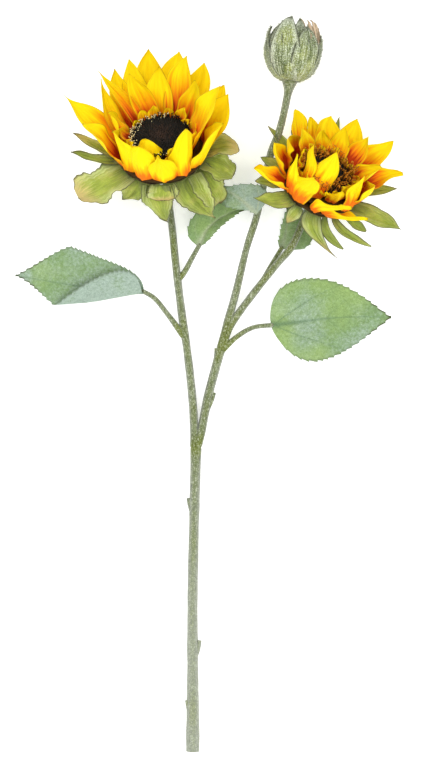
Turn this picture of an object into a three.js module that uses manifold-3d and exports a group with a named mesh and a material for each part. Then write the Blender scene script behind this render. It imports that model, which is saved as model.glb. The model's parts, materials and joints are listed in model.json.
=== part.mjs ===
import * as THREE from 'three';
import { mergeVertices } from 'three/addons/utils/BufferGeometryUtils.js';
import Module from 'manifold-3d';

// A cut spray of artificial sunflower: one stem that forks into two, with two blooms, a bud and
// five leaves. It lies on its back. X runs across the spray, Y along the stem, and Z up from what
// it lies on. Lengths are in millimetres and angles in degrees.

const wasm = await Module();
wasm.setup();

// Clearance between neighbouring pieces, and the wall of each kind of blade
const GAP = 0.3;
const LEAF_THICKNESS = 1.2;
const PETAL_THICKNESS = 1.0;
const SEPAL_THICKNESS = 1.2;

// How finely the solids are divided
const TUBE_SIDES = 8;
const TUBE_STEP = 20;
const LEAST_TUBE_STEPS = 3;
const LATHE_SEGMENTS = 20;
const LEAF_STATIONS = 9;
const LEAF_SHARES = [0.5, 1];
const FLAT_SHARES = [0.2, 0.4, 0.6, 0.8, 1];
const ARC_SHARES = [0, 1 / 3, 2 / 3, 1];
const ARC_LIMIT = 0.8;
const LEAST_HALF_WIDTH = 1;
const LEAST_TURNED_OVER = 2;
const MERGE_TOLERANCE = 0.001;

// Stems: a route of X, Y, Z points along the middle, and the radii that the tube passes through
const STEMS = {
  main_stem: {
    route: [[0, 0, 5.6], [0, 20, 5.6], [-0.1, 61, 6], [-0.4, 121, 6.3], [0.7, 183, 6.8],
      [1.7, 223, 7.2], [2.4, 252, 7.6]],
    radii: [5.5, 4.7, 4.2, 4.0, 4.0, 4.2],
  },
  left_stem: {
    route: [[1.6, 247, 7.6], [0.4, 279, 8], [-2, 305, 8], [-5.3, 332, 8.5], [-9, 357, 9],
      [-14.3, 400, 9], [-16.7, 425, 9.2], [-19.2, 446, 9.2]],
    radii: [3.4, 3.3, 3.3, 3.2, 2.9, 2.8],
  },
  right_stem: {
    route: [[3.2, 248, 7.8], [7, 263, 8], [9.9, 278, 8], [13.2, 294, 8.5], [19.6, 318, 9],
      [23.2, 331.5, 9.5]],
    radii: [3.4, 3.6, 3.6, 3.7],
  },
  bud_stem: {
    route: [[22.4, 327, 9.4], [27, 346, 10], [34.3, 372, 11], [44.2, 413, 13.5], [51.8, 437, 15.5],
      [63.3, 488, 18.4], [70.4, 507, 19.8], [77, 536, 21.9], [78.4, 545.3, 22.4]],
    radii: [3.3, 3.2, 2.9, 2.8, 2.9, 3.0, 6.0],
  },
  right_bloom_stem: {
    route: [[23.6, 328, 9.6], [30.2, 347, 10.5], [47.5, 372, 12], [68.9, 399, 13.2],
      [80.6, 413, 13.4]],
    radii: [3.0, 3.0, 2.9, 2.9, 2.9],
  },
};

// Leaf stalks, each on the stem that carries it
const STALKS = {
  left_leaf_stalk: {
    route: [[-6.3, 338.5, 8.6], [-20.9, 357.8, 11], [-31.7, 370.8, 13.5], [-42.5, 377.2, 14.5]],
    radii: [2.7, 2.2, 2.0, 1.9],
  },
  right_leaf_stalk: {
    route: [[22, 326.5, 9.3], [36.8, 339.9, 10], [48.9, 346.7, 11], [66, 348.9, 12]],
    radii: [2.6, 2.1, 2.0, 1.9],
  },
  inner_leaf_stalk: {
    route: [[-12.8, 385, 9], [-7, 392, 9], [-1.2, 402.7, 9.5], [6, 415.5, 10.5]],
    radii: [2.4, 2.2, 2.0, 1.9],
  },
  low_leaf_stalk: {
    route: [[50, 374.5, 11.6], [56.4, 384.5, 8.2], [64.6, 398.7, 5.6], [73.5, 413.5, 5]],
    radii: [2.2, 2.0, 1.9, 1.8],
  },
};

// Stubs left where side shoots were trimmed: the stem, the place, the way they point, the size
const STUB_TAPER = 0.8;
const STUBS = [
  { stem: 'main_stem', at: [-3.2, 52, 6.4], toward: [-0.7, 0.75, 0.1], radius: 1.6, length: 3.4 },
  { stem: 'main_stem', at: [3.4, 90, 6.6], toward: [0.7, 0.75, 0.1], radius: 1.5, length: 3.0 },
  { stem: 'main_stem', at: [-2.4, 206, 7.2], toward: [-0.7, 0.75, 0.1], radius: 1.6, length: 3.4 },
  { stem: 'right_stem', at: [15.4, 292, 8.8], toward: [0.75, 0.7, 0.1], radius: 1.6, length: 3.6 },
];

// Leaves: the route of the midrib, and for the halves to its left and right the greatest width,
// the rise above flat, where along the length it is widest, how square its base is, how fast it
// closes on the tip, and how far its edge bows. A fold turns the left half over by its angle on
// an arc of the given length: its line leaves the midrib by its slope, from the base, where the
// half is as wide as its root.
const LEAVES = {
  left_leaf: {
    route: [[-40.5, 376.6, 14.5], [-58, 377.5, 12.5], [-82, 379, 10.5], [-112, 383.5, 12],
      [-144.5, 389, 17]],
    left: { width: 30, rise: 4, widest: 0.33, square: 0.6, close: 1.5, bow: 90 },
    right: { width: 30, rise: 6, widest: 0.62, square: 0.4, close: 1.35, bow: 30 },
    fold: { slope: 0.24, angle: 165, arc: 5, root: 8 },
  },
  right_leaf: {
    route: [[63.5, 348.8, 12], [84, 351.5, 12.5], [108, 354.5, 13], [135, 355.5, 11.5],
      [162, 355.3, 8]],
    left: { width: 34, rise: 4, widest: 0.31, square: 0.3, close: 1.1, bow: 90 },
    right: { width: 34, rise: 8, widest: 0.34, square: 0.8, close: 1, bow: 90 },
  },
  inner_leaf: {
    route: [[4.8, 413.5, 10.5], [11, 426, 12], [20, 434.5, 13], [32, 441, 12.5], [46, 445.5, 11]],
    left: { width: 16, rise: 12, widest: 0.35, square: 0.45, close: 1, bow: 90 },
    right: { width: 9, rise: 40, widest: 0.3, square: 0.7, close: 1, bow: 90 },
  },
  upper_leaf: {
    route: [[51.3, 438.5, 19], [44, 446.5, 21.5], [35, 453.5, 22.5], [25.5, 459, 21.5],
      [16, 463, 19.5]],
    left: { width: 12, rise: 8, widest: 0.6, square: 1.3, close: 1, bow: 90 },
    right: { width: 19, rise: 4, widest: 0.2, square: 0.6, close: 2.5, bow: 90 },
  },
  low_leaf: {
    route: [[72.5, 412, 5], [75.5, 423, 4.5], [78, 437, 4.5], [79.5, 450, 5]],
    left: { width: 5, rise: 20, widest: 0.4, square: 0.4, close: 1, bow: 90 },
    right: { width: 23, rise: 4, widest: 0.38, square: 0.5, close: 0.8, bow: 90 },
  },
};

// Blooms: the middle of the disc's rim plane, the lean of the axis to the right and its rise
// above the floor, and the size of each layer against the left bloom. Each blade is a row of
// turn about the axis, lift above the rim plane, bend added by the tip, length, width, arch
// across it, twist and sway at the tip. Turn 0 is to the right, and 90 is towards the floor.
const BLOOMS = {
  left_bloom: {
    centre: [-25.9, 498.6, 44.6], lean: -6.5, rise: 47, scale: 1,
    outer: [
      [164, 45, -15, 58, 27, 50, -25, -10], [193, 57, 0, 44, 26, 50, -25, -17],
      [147, 56, 0, 53, 24, 50, -30, -13], [126, 50, 0, 48, 24, 40, -20, 0],
      [110, 50, 0, 57, 24, 40, -10, -2], [94, 47, 0, 62, 31, 35, 0, -2],
      [73, 47, 0, 60, 31, 35, 0, 0], [53, 47, 0, 55, 28, 40, 10, 1],
      [28, 50, 0, 48, 26, 40, 20, 0], [2, 62, 0, 50, 30, 50, 45, 12],
      [328, 66, 5, 44, 28, 50, 20, 12], [300, 84, 10, 43, 28, 60, 0, 5],
      [268, 80, 0, 33, 30, 50, 0, -2], [238, 81, 12, 39, 29, 60, 0, 6],
      [207, 82, 8, 42, 25, 60, 0, 0],
    ],
    inner: [
      [122, 62, 0, 50, 16, 40, -30, 8], [106, 64, 0, 49, 22, 40, -10, 8],
      [86, 58, 0, 46, 24, 35, 0, 0], [64, 58, 0, 51, 24, 35, 0, 3],
      [40, 62, 0, 44, 22, 45, 0, 0], [346, 80, 0, 52, 30, 50, 45, 24],
      [248, 86, 18, 32, 24, 60, 0, -2], [176, 66, 5, 38, 20, 55, 0, -6],
    ],
    sepals: [
      [206, -9, -25, 42, 40, 30, 0, -17], [231, -60, -20, 20, 20, 30, 0, -14],
      [247, -78, -20, 13, 13, 30, 0, 0], [264, -62, -30, 33, 27, 30, 0, 2],
      [297, -52, -25, 40, 30, 30, 0, 9], [318, -47, -20, 33, 27, 30, 0, 5],
      [340, -15, -15, 25, 24, 30, 0, 0], [358, 28, 0, 29, 24, 30, 0, -13],
      [172, 28, 0, 40, 12, 30, 0, -5], [182, 13, 0, 37, 12, 30, 0, -8],
      [140, 24, 0, 44, 12, 30, 0, 2], [118, 34, 0, 36, 18, 30, 0, 0],
      [95, 34, 0, 34, 20, 30, 0, 0], [72, 34, 0, 36, 18, 30, 0, 0],
      [48, 35, 0, 36, 20, 30, 0, 0], [24, 34, 0, 32, 20, 30, 0, 0],
    ],
  },
  right_bloom: {
    centre: [107.2, 469.5, 40.6], lean: 27, rise: 45, scale: 0.9,
    outer: [
      [138, 43, 0, 41, 22, 50, 0, 5], [163, 60, 10, 32, 22, 60, 0, 14],
      [190, 52, 0, 30, 20, 50, 0, 0], [218, 22, 0, 33, 22, 70, 0, -9],
      [228, 62, 36, 38, 20, 50, -20, -8], [256, 64, 40, 30, 25, 50, 0, 6],
      [280, 60, 0, 33, 16, 70, 0, 22], [298, 44, 0, 32, 15, 60, 0, 24],
      [330, 60, 10, 30, 22, 50, 0, 0], [0, 66, 20, 32, 26, 50, 0, -6],
      [33, 40, 0, 42, 22, 50, 0, -5], [55, 48, 0, 48, 24, 40, 0, -2],
      [79, 52, 0, 43, 27, 40, 0, 9], [102, 47, 0, 38, 28, 40, 0, 7],
      [120, 46, 0, 34, 20, 40, 0, 4],
    ],
    inner: [
      [238, 72, 50, 41, 19, 60, 0, -7],
      [268, 79, 60, 48, 27, 50, 0, 0], [0, 84, 40, 38, 18, 60, 0, -3],
      [24, 62, 0, 34, 20, 50, 0, 0], [61, 58, 0, 38, 20, 40, 0, 2],
      [90, 62, 0, 33, 20, 40, 0, 2], [112, 60, 0, 27, 18, 40, 0, 6],
      [150, 62, 0, 30, 20, 50, 0, 0],
    ],
    sepals: [
      [151, 23, 0, 33, 9, 40, 0, 12], [138, 30, 0, 24, 8, 40, 0, 2],
      [236, -24, 0, 22, 20, 30, 0, -17], [256, -72, 0, 16, 12, 30, 0, -2],
      [280, -66, -20, 29, 20, 30, 0, 27], [301, -66, -10, 26, 10, 30, 0, 21],
      [315, -32, -10, 24, 12, 30, 0, 27], [337, -18, 0, 18, 10, 30, 0, 5],
      [355, 6, 0, 43, 24, 30, 0, 6], [28, 25, 0, 35, 14, 30, 0, -3],
      [93, 38, 0, 41, 8, 30, 0, 10], [118, 34, 0, 30, 16, 30, 0, 0],
      [72, 34, 0, 30, 18, 30, 0, 0], [50, 33, 0, 30, 16, 30, 0, 0],
      [205, -4, 0, 22, 18, 30, 0, 0], [180, 10, 0, 22, 16, 30, 0, 0],
    ],
  },
};

// Layers of a bloom along its axis, at scale 1. Each profile is radius and height pairs.
const DISC_PROFILE = [[0, -3.2], [23.6, -3.2], [24.5, -1], [22, 3], [14, 5.4], [6, 5], [0, 4.2]];
const FLORET_HUB = [[0, -7.7], [23, -7.7], [24, -6], [23, -3.5], [0, -3.5]];
const INNER_HUB = [[0, -12], [31.5, -12], [32.5, -10], [31.5, -8], [0, -8]];
const OUTER_HUB = [[0, -18.2], [35, -18.2], [36.2, -16.5], [35, -14.8], [0, -14.8]];
const SEPAL_SAUCER = [
  [0, -27.5], [14, -27.5], [31, -22.5], [40.6, -18], [40.4, -17], [37.5, -18.5], [0, -18.5],
];
const CUP_PROFILE = [[0, -39.5], [5.5, -39.5], [10, -34], [13.5, -27.8], [0, -27.8]];
const STEM_END_HEIGHT = -39.8;
const NECK_LENGTH = 8;

// Where the blades of each layer start, at scale 1
const OUTER_BASE = { radius: 34.5, height: -16.5 };
const INNER_BASE = { radius: 25.5, height: -10 };
const SEPAL_BASE = { radius: 35, height: -20.2 };
const FLORET_BASE = { radius: 22, height: -5.6 };

// The ring of short florets: their lift and length swing by a step round the ring
const FLORET_RING = {
  count: 13, lift: 60, liftStep: 9, liftPhase: 2.4, bend: 10,
  length: 17, lengthStep: 2.4, lengthPhase: 1.7, width: 8, arch: 60,
};

// Outline of each kind of blade: width at the base against the greatest, where it is widest, how
// fast it closes on the tip, the width left there, and the stations and points that carry it
const PETAL_OUTLINE = {
  base: 0.6, widest: 0.5, close: 0.9, tip: 0.1, stations: 5, across: [-1, 0, 1],
};
const FLORET_OUTLINE = {
  base: 0.6, widest: 0.5, close: 0.8, tip: 0.3, stations: 3, across: [-1, 1],
};
const SEPAL_OUTLINE = {
  base: 0.8, widest: 0.45, close: 0.9, tip: 0.1, stations: 5, across: [-1, 1],
};
const BRACT_OUTLINE = {
  base: 0.7, widest: 0.4, close: 0.8, tip: 0.12, stations: 5, across: [-1, 0, 1],
};

// The bud: an egg that is fullest low down, as a core of inset radius with bracts that wrap it
// and close in on its crown. Turn 0 is to the right, and 90 is towards the floor. Each bract is
// a row of turn, share of the height that its tip reaches, half width and stand-off.
const BUD = {
  base: [78.5, 546, 22.4], axis: [0.113, 0.993, 0.01],
  radius: 20.2, height: 52.8, footRadius: 6.5, lowness: 0.95, fullness: 0.4,
  coreShares: [0.03, 0.1, 0.22, 0.36, 0.52, 0.66], coreInset: 1.3, crown: 0.72,
  bractStart: 0.03, bractDepth: 3.6, tipDepth: 1.4,
  bracts: [
    [194, 0.76, 7, 2.2], [222, 0.88, 8, 1.1], [250, 0.985, 11, 2.1], [284, 0.96, 7, 1],
    [304, 0.84, 11, 2.2], [334, 0.86, 8, 1], [354, 0.74, 7, 2.1], [22, 0.88, 9, 1.1],
    [52, 0.8, 10, 2], [84, 0.92, 10, 1], [114, 0.8, 10, 2], [144, 0.9, 9, 1.1],
    [170, 0.82, 8, 2],
  ],
};

// Colour and roughness of each kind of piece
const FINISHES = {
  stem: { color: 0x8d9a6b, roughness: 0.9 },
  leaf: { color: 0x8fb088, roughness: 0.85 },
  petal: { color: 0xffc815, roughness: 0.7 },
  innerPetal: { color: 0xfba012, roughness: 0.7 },
  floret: { color: 0xf0a818, roughness: 0.8 },
  disc: { color: 0x1c1814, roughness: 0.95 },
  sepal: { color: 0xa9b35c, roughness: 0.85 },
  bud: { color: 0x8f9f74, roughness: 0.9 },
};

const { clamp, degToRad: radians, lerp } = THREE.MathUtils;
const vector = (p) => new THREE.Vector3(...p);

// A closed solid of one shell from a geometry whose shared vertices are merged
function solidOf(geometry) {
  geometry.deleteAttribute('normal');
  geometry.deleteAttribute('uv');
  const merged = mergeVertices(geometry, MERGE_TOLERANCE);
  const corners = merged.index.array;
  const kept = [];
  for (let i = 0; i < corners.length; i += 3) {
    const [a, b, c] = [corners[i], corners[i + 1], corners[i + 2]];
    if (a !== b && b !== c && c !== a) kept.push(a, b, c);
  }
  return new wasm.Manifold(new wasm.Mesh({
    numProp: 3,
    vertProperties: new Float32Array(merged.attributes.position.array),
    triVerts: new Uint32Array(kept),
  }));
}

// A solid lofted through closed rings of equal count, with its ends closed in strips
function loft(rings) {
  const count = rings[0].length;
  const index = [];
  for (let k = 0; k + 1 < rings.length; k += 1) {
    for (let i = 0; i < count; i += 1) {
      const a = k * count + i;
      const b = k * count + ((i + 1) % count);
      index.push(a, b, b + count, a, b + count, a + count);
    }
  }
  const last = (rings.length - 1) * count;
  for (let i = 0; i + 1 < count / 2; i += 1) {
    const j = count - 1 - i;
    index.push(i, j - 1, i + 1, i, j, j - 1);
    index.push(last + i, last + i + 1, last + j - 1, last + i, last + j - 1, last + j);
  }
  const geometry = new THREE.BufferGeometry().setFromPoints(rings.flat());
  geometry.setIndex(index);
  const solid = solidOf(geometry);
  if (solid.volume() > 0) return solid;
  for (let i = 0; i < index.length; i += 3) [index[i], index[i + 1]] = [index[i + 1], index[i]];
  geometry.setIndex(index);
  return solidOf(geometry);
}

// A value read along an evenly spaced list, in straight steps
function along(values, s) {
  const place = s * (values.length - 1);
  const k = Math.min(Math.floor(place), values.length - 2);
  return lerp(values[k], values[k + 1], place - k);
}

// A tapering round limb along a smooth route
function tube({ route, radii }, grow = 0) {
  const curve = new THREE.CatmullRomCurve3(route.map(vector), false, 'centripetal');
  const steps = Math.max(LEAST_TUBE_STEPS, Math.round(curve.getLength() / TUBE_STEP));
  const frames = curve.computeFrenetFrames(steps, false);
  const rings = [];
  for (let k = 0; k <= steps; k += 1) {
    const middle = curve.getPointAt(k / steps);
    const radius = along(radii, k / steps) + grow;
    const ring = [];
    for (let i = 0; i < TUBE_SIDES; i += 1) {
      const angle = (2 * Math.PI * (i + 0.5)) / TUBE_SIDES;
      ring.push(middle.clone()
        .addScaledVector(frames.normals[k], radius * Math.cos(angle))
        .addScaledVector(frames.binormals[k], radius * Math.sin(angle)));
    }
    rings.push(ring);
  }
  if (grow > 0) {
    rings[0].forEach((p) => p.addScaledVector(frames.tangents[0], -grow));
    rings[steps].forEach((p) => p.addScaledVector(frames.tangents[steps], grow));
  }
  return loft(rings);
}

// The short side stub left by a trimmed shoot, half of it sunk in the stem
function stub({ at, toward, radius, length }) {
  const upright = new THREE.Vector3(0, 1, 0);
  const tilt = new THREE.Quaternion().setFromUnitVectors(upright, vector(toward).normalize());
  const geometry = new THREE.CylinderGeometry(radius * STUB_TAPER, radius, length * 2, TUBE_SIDES);
  geometry.applyQuaternion(tilt);
  geometry.translate(...at);
  return solidOf(geometry);
}

// The axes of a bloom: across to the right, down its back, and out of its face
function bloomAxes({ lean, rise }) {
  const a = radians(lean);
  const e = radians(rise);
  return {
    right: new THREE.Vector3(Math.cos(a), -Math.sin(a), 0),
    back: new THREE.Vector3(Math.sin(a) * Math.sin(e), Math.cos(a) * Math.sin(e), -Math.cos(e)),
    out: new THREE.Vector3(Math.sin(a) * Math.cos(e), Math.cos(a) * Math.cos(e), Math.sin(e)),
  };
}

// A profile of radius and height turned about a bloom's axis
function turned(profile, bloom, grow = 0) {
  const axes = bloomAxes(bloom);
  const middle = profile.reduce((sum, p) => sum + p[1], 0) / profile.length;
  const points = profile.map(([radius, height]) => new THREE.Vector2(
    radius > 0 ? radius * bloom.scale + grow : 0,
    height * bloom.scale + grow * Math.sign(height - middle),
  ));
  const geometry = new THREE.LatheGeometry(points, LATHE_SEGMENTS);
  const basis = new THREE.Matrix4().makeBasis(axes.right, axes.out, axes.back.clone().negate());
  geometry.applyMatrix4(basis.setPosition(vector(bloom.centre)));
  return solidOf(geometry);
}

// Half width of a blade at share s of its length, against its greatest
function outlineWidth({ base, widest, close, tip }, s) {
  if (s < widest) return base + (1 - base) * Math.sin((Math.PI / 2) * (s / widest));
  const fall = Math.cos((Math.PI / 2) * ((s - widest) / (1 - widest)));
  return Math.max(tip, Math.max(0, fall) ** close);
}

// A petal or sepal. It leaves the axis at its turn, climbs by lift and bend, and its section is
// an arc across the width that opens towards the bloom's face.
function blade(row, bloom, start, outline, thickness, grow = 0) {
  const [turn, lift, bend, length, width, arch, twist, sway] = row;
  const axes = bloomAxes(bloom);
  const t = radians(turn);
  const ray = axes.right.clone().multiplyScalar(Math.cos(t)).addScaledVector(axes.back, Math.sin(t));
  const side = axes.right.clone().multiplyScalar(-Math.sin(t)).addScaledVector(axes.back, Math.cos(t));
  const place = vector(bloom.centre)
    .addScaledVector(ray, start.radius * bloom.scale)
    .addScaledVector(axes.out, start.height * bloom.scale);
  const curve = radians(Math.max(arch, 1));
  const rings = [];
  for (let k = 0; k < outline.stations; k += 1) {
    const s = k / (outline.stations - 1);
    const climb = radians(lift + bend * s);
    const way = ray.clone().multiplyScalar(Math.cos(climb)).addScaledVector(axes.out, Math.sin(climb));
    const up = ray.clone().multiplyScalar(-Math.sin(climb)).addScaledVector(axes.out, Math.cos(climb));
    if (k > 0) place.addScaledVector(way, length / (outline.stations - 1));
    const across = side.clone().applyAxisAngle(way, radians(twist) * s);
    up.applyAxisAngle(way, radians(twist) * s);
    const half = (width / 2) * outlineWidth(outline, s) + grow;
    const middle = place.clone().addScaledVector(side, sway * s * s);
    const top = [];
    const under = [];
    for (const x of outline.across) {
      const reach = (half * Math.sin(curve * x)) / curve;
      const dip = (half * (1 - Math.cos(curve * x))) / curve;
      const point = middle.clone().addScaledVector(across, reach).addScaledVector(up, dip);
      top.push(point.clone().addScaledVector(up, thickness / 2 + grow));
      under.unshift(point.addScaledVector(up, -thickness / 2 - grow));
    }
    rings.push([...top, ...under]);
  }
  return loft(rings);
}

// A ring of blades fused on its hub
function bladeRing(rows, hub, bloom, start, outline, thickness, grow = 0) {
  const blades = rows.map((row) => blade(row, bloom, start, outline, thickness, grow));
  return wasm.Manifold.union([turned(hub, bloom, grow), ...blades]);
}

// The rows of the short florets that stand round the disc
function floretRows(scale) {
  const ring = FLORET_RING;
  return Array.from({ length: ring.count }, (_, k) => {
    const lift = ring.lift + ring.liftStep * Math.cos(k * ring.liftPhase);
    const length = ring.length + ring.lengthStep * Math.sin(k * ring.lengthPhase);
    return [(360 * k) / ring.count, lift, ring.bend, length * scale, ring.width * scale, ring.arch, 0, 0];
  });
}

// Half width of a leaf at share s of its length
function leafWidth({ width, widest, square, close, bow }, s) {
  const full = radians(bow);
  if (s < widest) return (width * Math.sin(full * (s / widest) ** square)) / Math.sin(full);
  return width * Math.max(0, Math.cos((Math.PI / 2) * ((s - widest) / (1 - widest)))) ** close;
}

// Points across one half of a leaf, as distances out and up from its midrib. The section runs
// out at the half's rise, and turns over on an arc where it passes the fold line.
function halfSection(half, fold, s, length, grow) {
  const least = fold && s === 0 ? fold.root : LEAST_HALF_WIDTH;
  const reach = Math.max(least, leafWidth(half, s)) + grow;
  const line = fold ? Math.max(fold.slope * s * length, LEAST_HALF_WIDTH) : reach;
  const over = reach - line;
  let stops = (fold ? FLAT_SHARES : LEAF_SHARES).map((share) => share * reach);
  if (over > LEAST_TURNED_OVER) {
    const arc = Math.min(fold.arc, over * ARC_LIMIT);
    stops = [...ARC_SHARES.map((share) => line + share * arc), reach];
  }
  const at = { out: 0, up: 0, distance: 0 };
  return stops.map((distance) => {
    const past = (at.distance + distance) / 2 - line;
    const turned = fold ? fold.angle * clamp(past / fold.arc, 0, 1) : 0;
    const slope = radians(half.rise + turned);
    at.out += (distance - at.distance) * Math.cos(slope);
    at.up += (distance - at.distance) * Math.sin(slope);
    at.distance = distance;
    return { out: at.out, up: at.up };
  });
}

// A leaf blade along its midrib, with a wall of even thickness
function leaf({ route, left, right, fold }, grow = 0) {
  const curve = new THREE.CatmullRomCurve3(route.map(vector), false, 'centripetal');
  const length = curve.getLength();
  const wall = LEAF_THICKNESS / 2 + grow;
  const rings = [];
  for (let k = 0; k < LEAF_STATIONS; k += 1) {
    const s = k / (LEAF_STATIONS - 1);
    const middle = curve.getPointAt(s);
    const way = curve.getTangentAt(s);
    const leftward = new THREE.Vector3(0, 0, 1).cross(way).normalize();
    const upward = way.clone().cross(leftward);
    const place = (sign) => ({ out, up }) => middle.clone()
      .addScaledVector(leftward, sign * out)
      .addScaledVector(upward, up);
    const line = [
      ...halfSection(left, fold, s, length, grow).map(place(1)).reverse(),
      middle.clone(),
      ...halfSection(right, null, s, length, grow).map(place(-1)),
    ];
    const normals = line.map((p, i) => {
      const before = line[Math.max(0, i - 1)];
      const after = line[Math.min(line.length - 1, i + 1)];
      return after.clone().sub(before).cross(way).normalize();
    });
    rings.push([
      ...line.map((p, i) => p.clone().addScaledVector(normals[i], wall)),
      ...line.map((p, i) => p.clone().addScaledVector(normals[i], -wall)).reverse(),
    ]);
  }
  return loft(rings);
}

// Radius of the bud's egg at share t of its height
function eggRadius(t) {
  return BUD.radius * Math.sin(Math.PI * t ** BUD.lowness) ** BUD.fullness;
}

// A bract that lies on the egg, deep at its foot and thin at its tip
function bract([turn, top, halfWidth, standOff], axes, grow) {
  const rings = [];
  for (let k = 0; k < BRACT_OUTLINE.stations; k += 1) {
    const s = k / (BRACT_OUTLINE.stations - 1);
    const t = lerp(BUD.bractStart, top, s);
    const radius = eggRadius(t);
    const spread = (halfWidth * outlineWidth(BRACT_OUTLINE, s)) / Math.max(radius, BUD.footRadius);
    const depth = lerp(BUD.bractDepth, BUD.tipDepth, s);
    const point = (x, lift) => {
      const angle = radians(turn) + x * spread;
      return vector(BUD.base)
        .addScaledVector(axes.right, (radius + lift) * Math.cos(angle))
        .addScaledVector(axes.back, (radius + lift) * Math.sin(angle))
        .addScaledVector(axes.out, BUD.height * t);
    };
    const outside = BRACT_OUTLINE.across.map((x) => point(x, standOff + grow));
    const inside = BRACT_OUTLINE.across.map((x) => point(-x, standOff - depth - grow));
    rings.push([...outside, ...inside]);
  }
  return loft(rings);
}

// The bud: its core and the bracts fused on it
function bud(grow = 0) {
  const out = vector(BUD.axis).normalize();
  const right = new THREE.Vector3(1, 0, 0).addScaledVector(out, -out.x).normalize();
  const axes = { right, back: out.clone().cross(right), out };
  const points = [
    new THREE.Vector2(0, 0),
    new THREE.Vector2(BUD.footRadius, 0),
    ...BUD.coreShares.map((t) => new THREE.Vector2(
      eggRadius(t) - BUD.coreInset + grow,
      BUD.height * t,
    )),
    new THREE.Vector2(0, BUD.height * BUD.crown),
  ];
  const core = new THREE.LatheGeometry(points, LATHE_SEGMENTS);
  const basis = new THREE.Matrix4().makeBasis(right, out, axes.back.clone().negate());
  core.applyMatrix4(basis.setPosition(vector(BUD.base)));
  const bracts = BUD.bracts.map((row) => bract(row, axes, grow));
  return wasm.Manifold.union([solidOf(core), ...bracts]);
}

// Pieces in the order they are fitted: each later one is cut clear of the earlier ones
const pieces = [];

function boxesMeet(a, b) {
  return [0, 1, 2].every((i) => a.min[i] <= b.max[i] && b.min[i] <= a.max[i]);
}

function largestShell(solid) {
  const shells = solid.decompose().filter((shell) => shell.volume() > 0);
  shells.sort((a, b) => b.volume() - a.volume());
  return shells[0];
}

function fit(name, make, finish) {
  let solid = make(0);
  for (const other of pieces) {
    if (boxesMeet(solid.boundingBox(), other.clear.boundingBox())) solid = solid.subtract(other.clear);
  }
  pieces.push({ name, solid: largestShell(solid), clear: make(GAP), finish });
}

// Ends a bloom's stem square to its axis, just clear of the cup
function withNeck(stem, bloom) {
  const { out } = bloomAxes(bloom);
  const end = vector(bloom.centre).addScaledVector(out, STEM_END_HEIGHT * bloom.scale);
  const neck = end.clone().addScaledVector(out, -NECK_LENGTH);
  return { ...stem, route: [...stem.route, neck.toArray(), end.toArray()] };
}

STEMS.left_stem = withNeck(STEMS.left_stem, BLOOMS.left_bloom);
STEMS.right_bloom_stem = withNeck(STEMS.right_bloom_stem, BLOOMS.right_bloom);

for (const [name, stem] of Object.entries(STEMS)) {
  const stubs = STUBS.filter((piece) => piece.stem === name);
  const make = (grow) => wasm.Manifold.union([tube(stem, grow), ...stubs.map(stub)]);
  fit(name, make, FINISHES.stem);
}
for (const [name, stalk] of Object.entries(STALKS)) {
  fit(name, (grow) => tube(stalk, grow), FINISHES.stem);
}

for (const [name, bloom] of Object.entries(BLOOMS)) {
  const ring = (rows, hub, start, outline, wall) => (grow) => (
    bladeRing(rows, hub, bloom, start, outline, wall, grow));
  const short = floretRows(bloom.scale);
  fit(`${name}_disc`, (grow) => turned(DISC_PROFILE, bloom, grow), FINISHES.disc);
  fit(`${name}_cup`, (grow) => turned(CUP_PROFILE, bloom, grow), FINISHES.stem);
  fit(`${name}_florets`,
    ring(short, FLORET_HUB, FLORET_BASE, FLORET_OUTLINE, PETAL_THICKNESS), FINISHES.floret);
  fit(`${name}_inner_petals`,
    ring(bloom.inner, INNER_HUB, INNER_BASE, PETAL_OUTLINE, PETAL_THICKNESS), FINISHES.innerPetal);
  fit(`${name}_outer_petals`,
    ring(bloom.outer, OUTER_HUB, OUTER_BASE, PETAL_OUTLINE, PETAL_THICKNESS), FINISHES.petal);
  fit(`${name}_sepals`,
    ring(bloom.sepals, SEPAL_SAUCER, SEPAL_BASE, SEPAL_OUTLINE, SEPAL_THICKNESS), FINISHES.sepal);
}

fit('bud', bud, FINISHES.bud);
for (const [name, spec] of Object.entries(LEAVES)) {
  fit(name, (grow) => leaf(spec, grow), FINISHES.leaf);
}

// The origin is under the middle of the box that holds the whole spray
const group = new THREE.Group();
for (const { name, solid, finish } of pieces) {
  const mesh = solid.getMesh();
  const corners = new THREE.BufferAttribute(new Float32Array(mesh.vertProperties), 3);
  const geometry = new THREE.BufferGeometry();
  geometry.setAttribute('position', corners);
  geometry.setIndex(new THREE.BufferAttribute(new Uint32Array(mesh.triVerts), 1));
  geometry.computeVertexNormals();
  const material = new THREE.MeshStandardMaterial({ ...finish, metalness: 0 });
  const node = new THREE.Mesh(geometry, material);
  node.name = name;
  group.add(node);
}
const extent = new THREE.Box3().setFromObject(group);
const middle = extent.getCenter(new THREE.Vector3());
group.position.set(-middle.x, -middle.y, -extent.min.z);

export default group;
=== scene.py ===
import json
from collections import namedtuple

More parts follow.
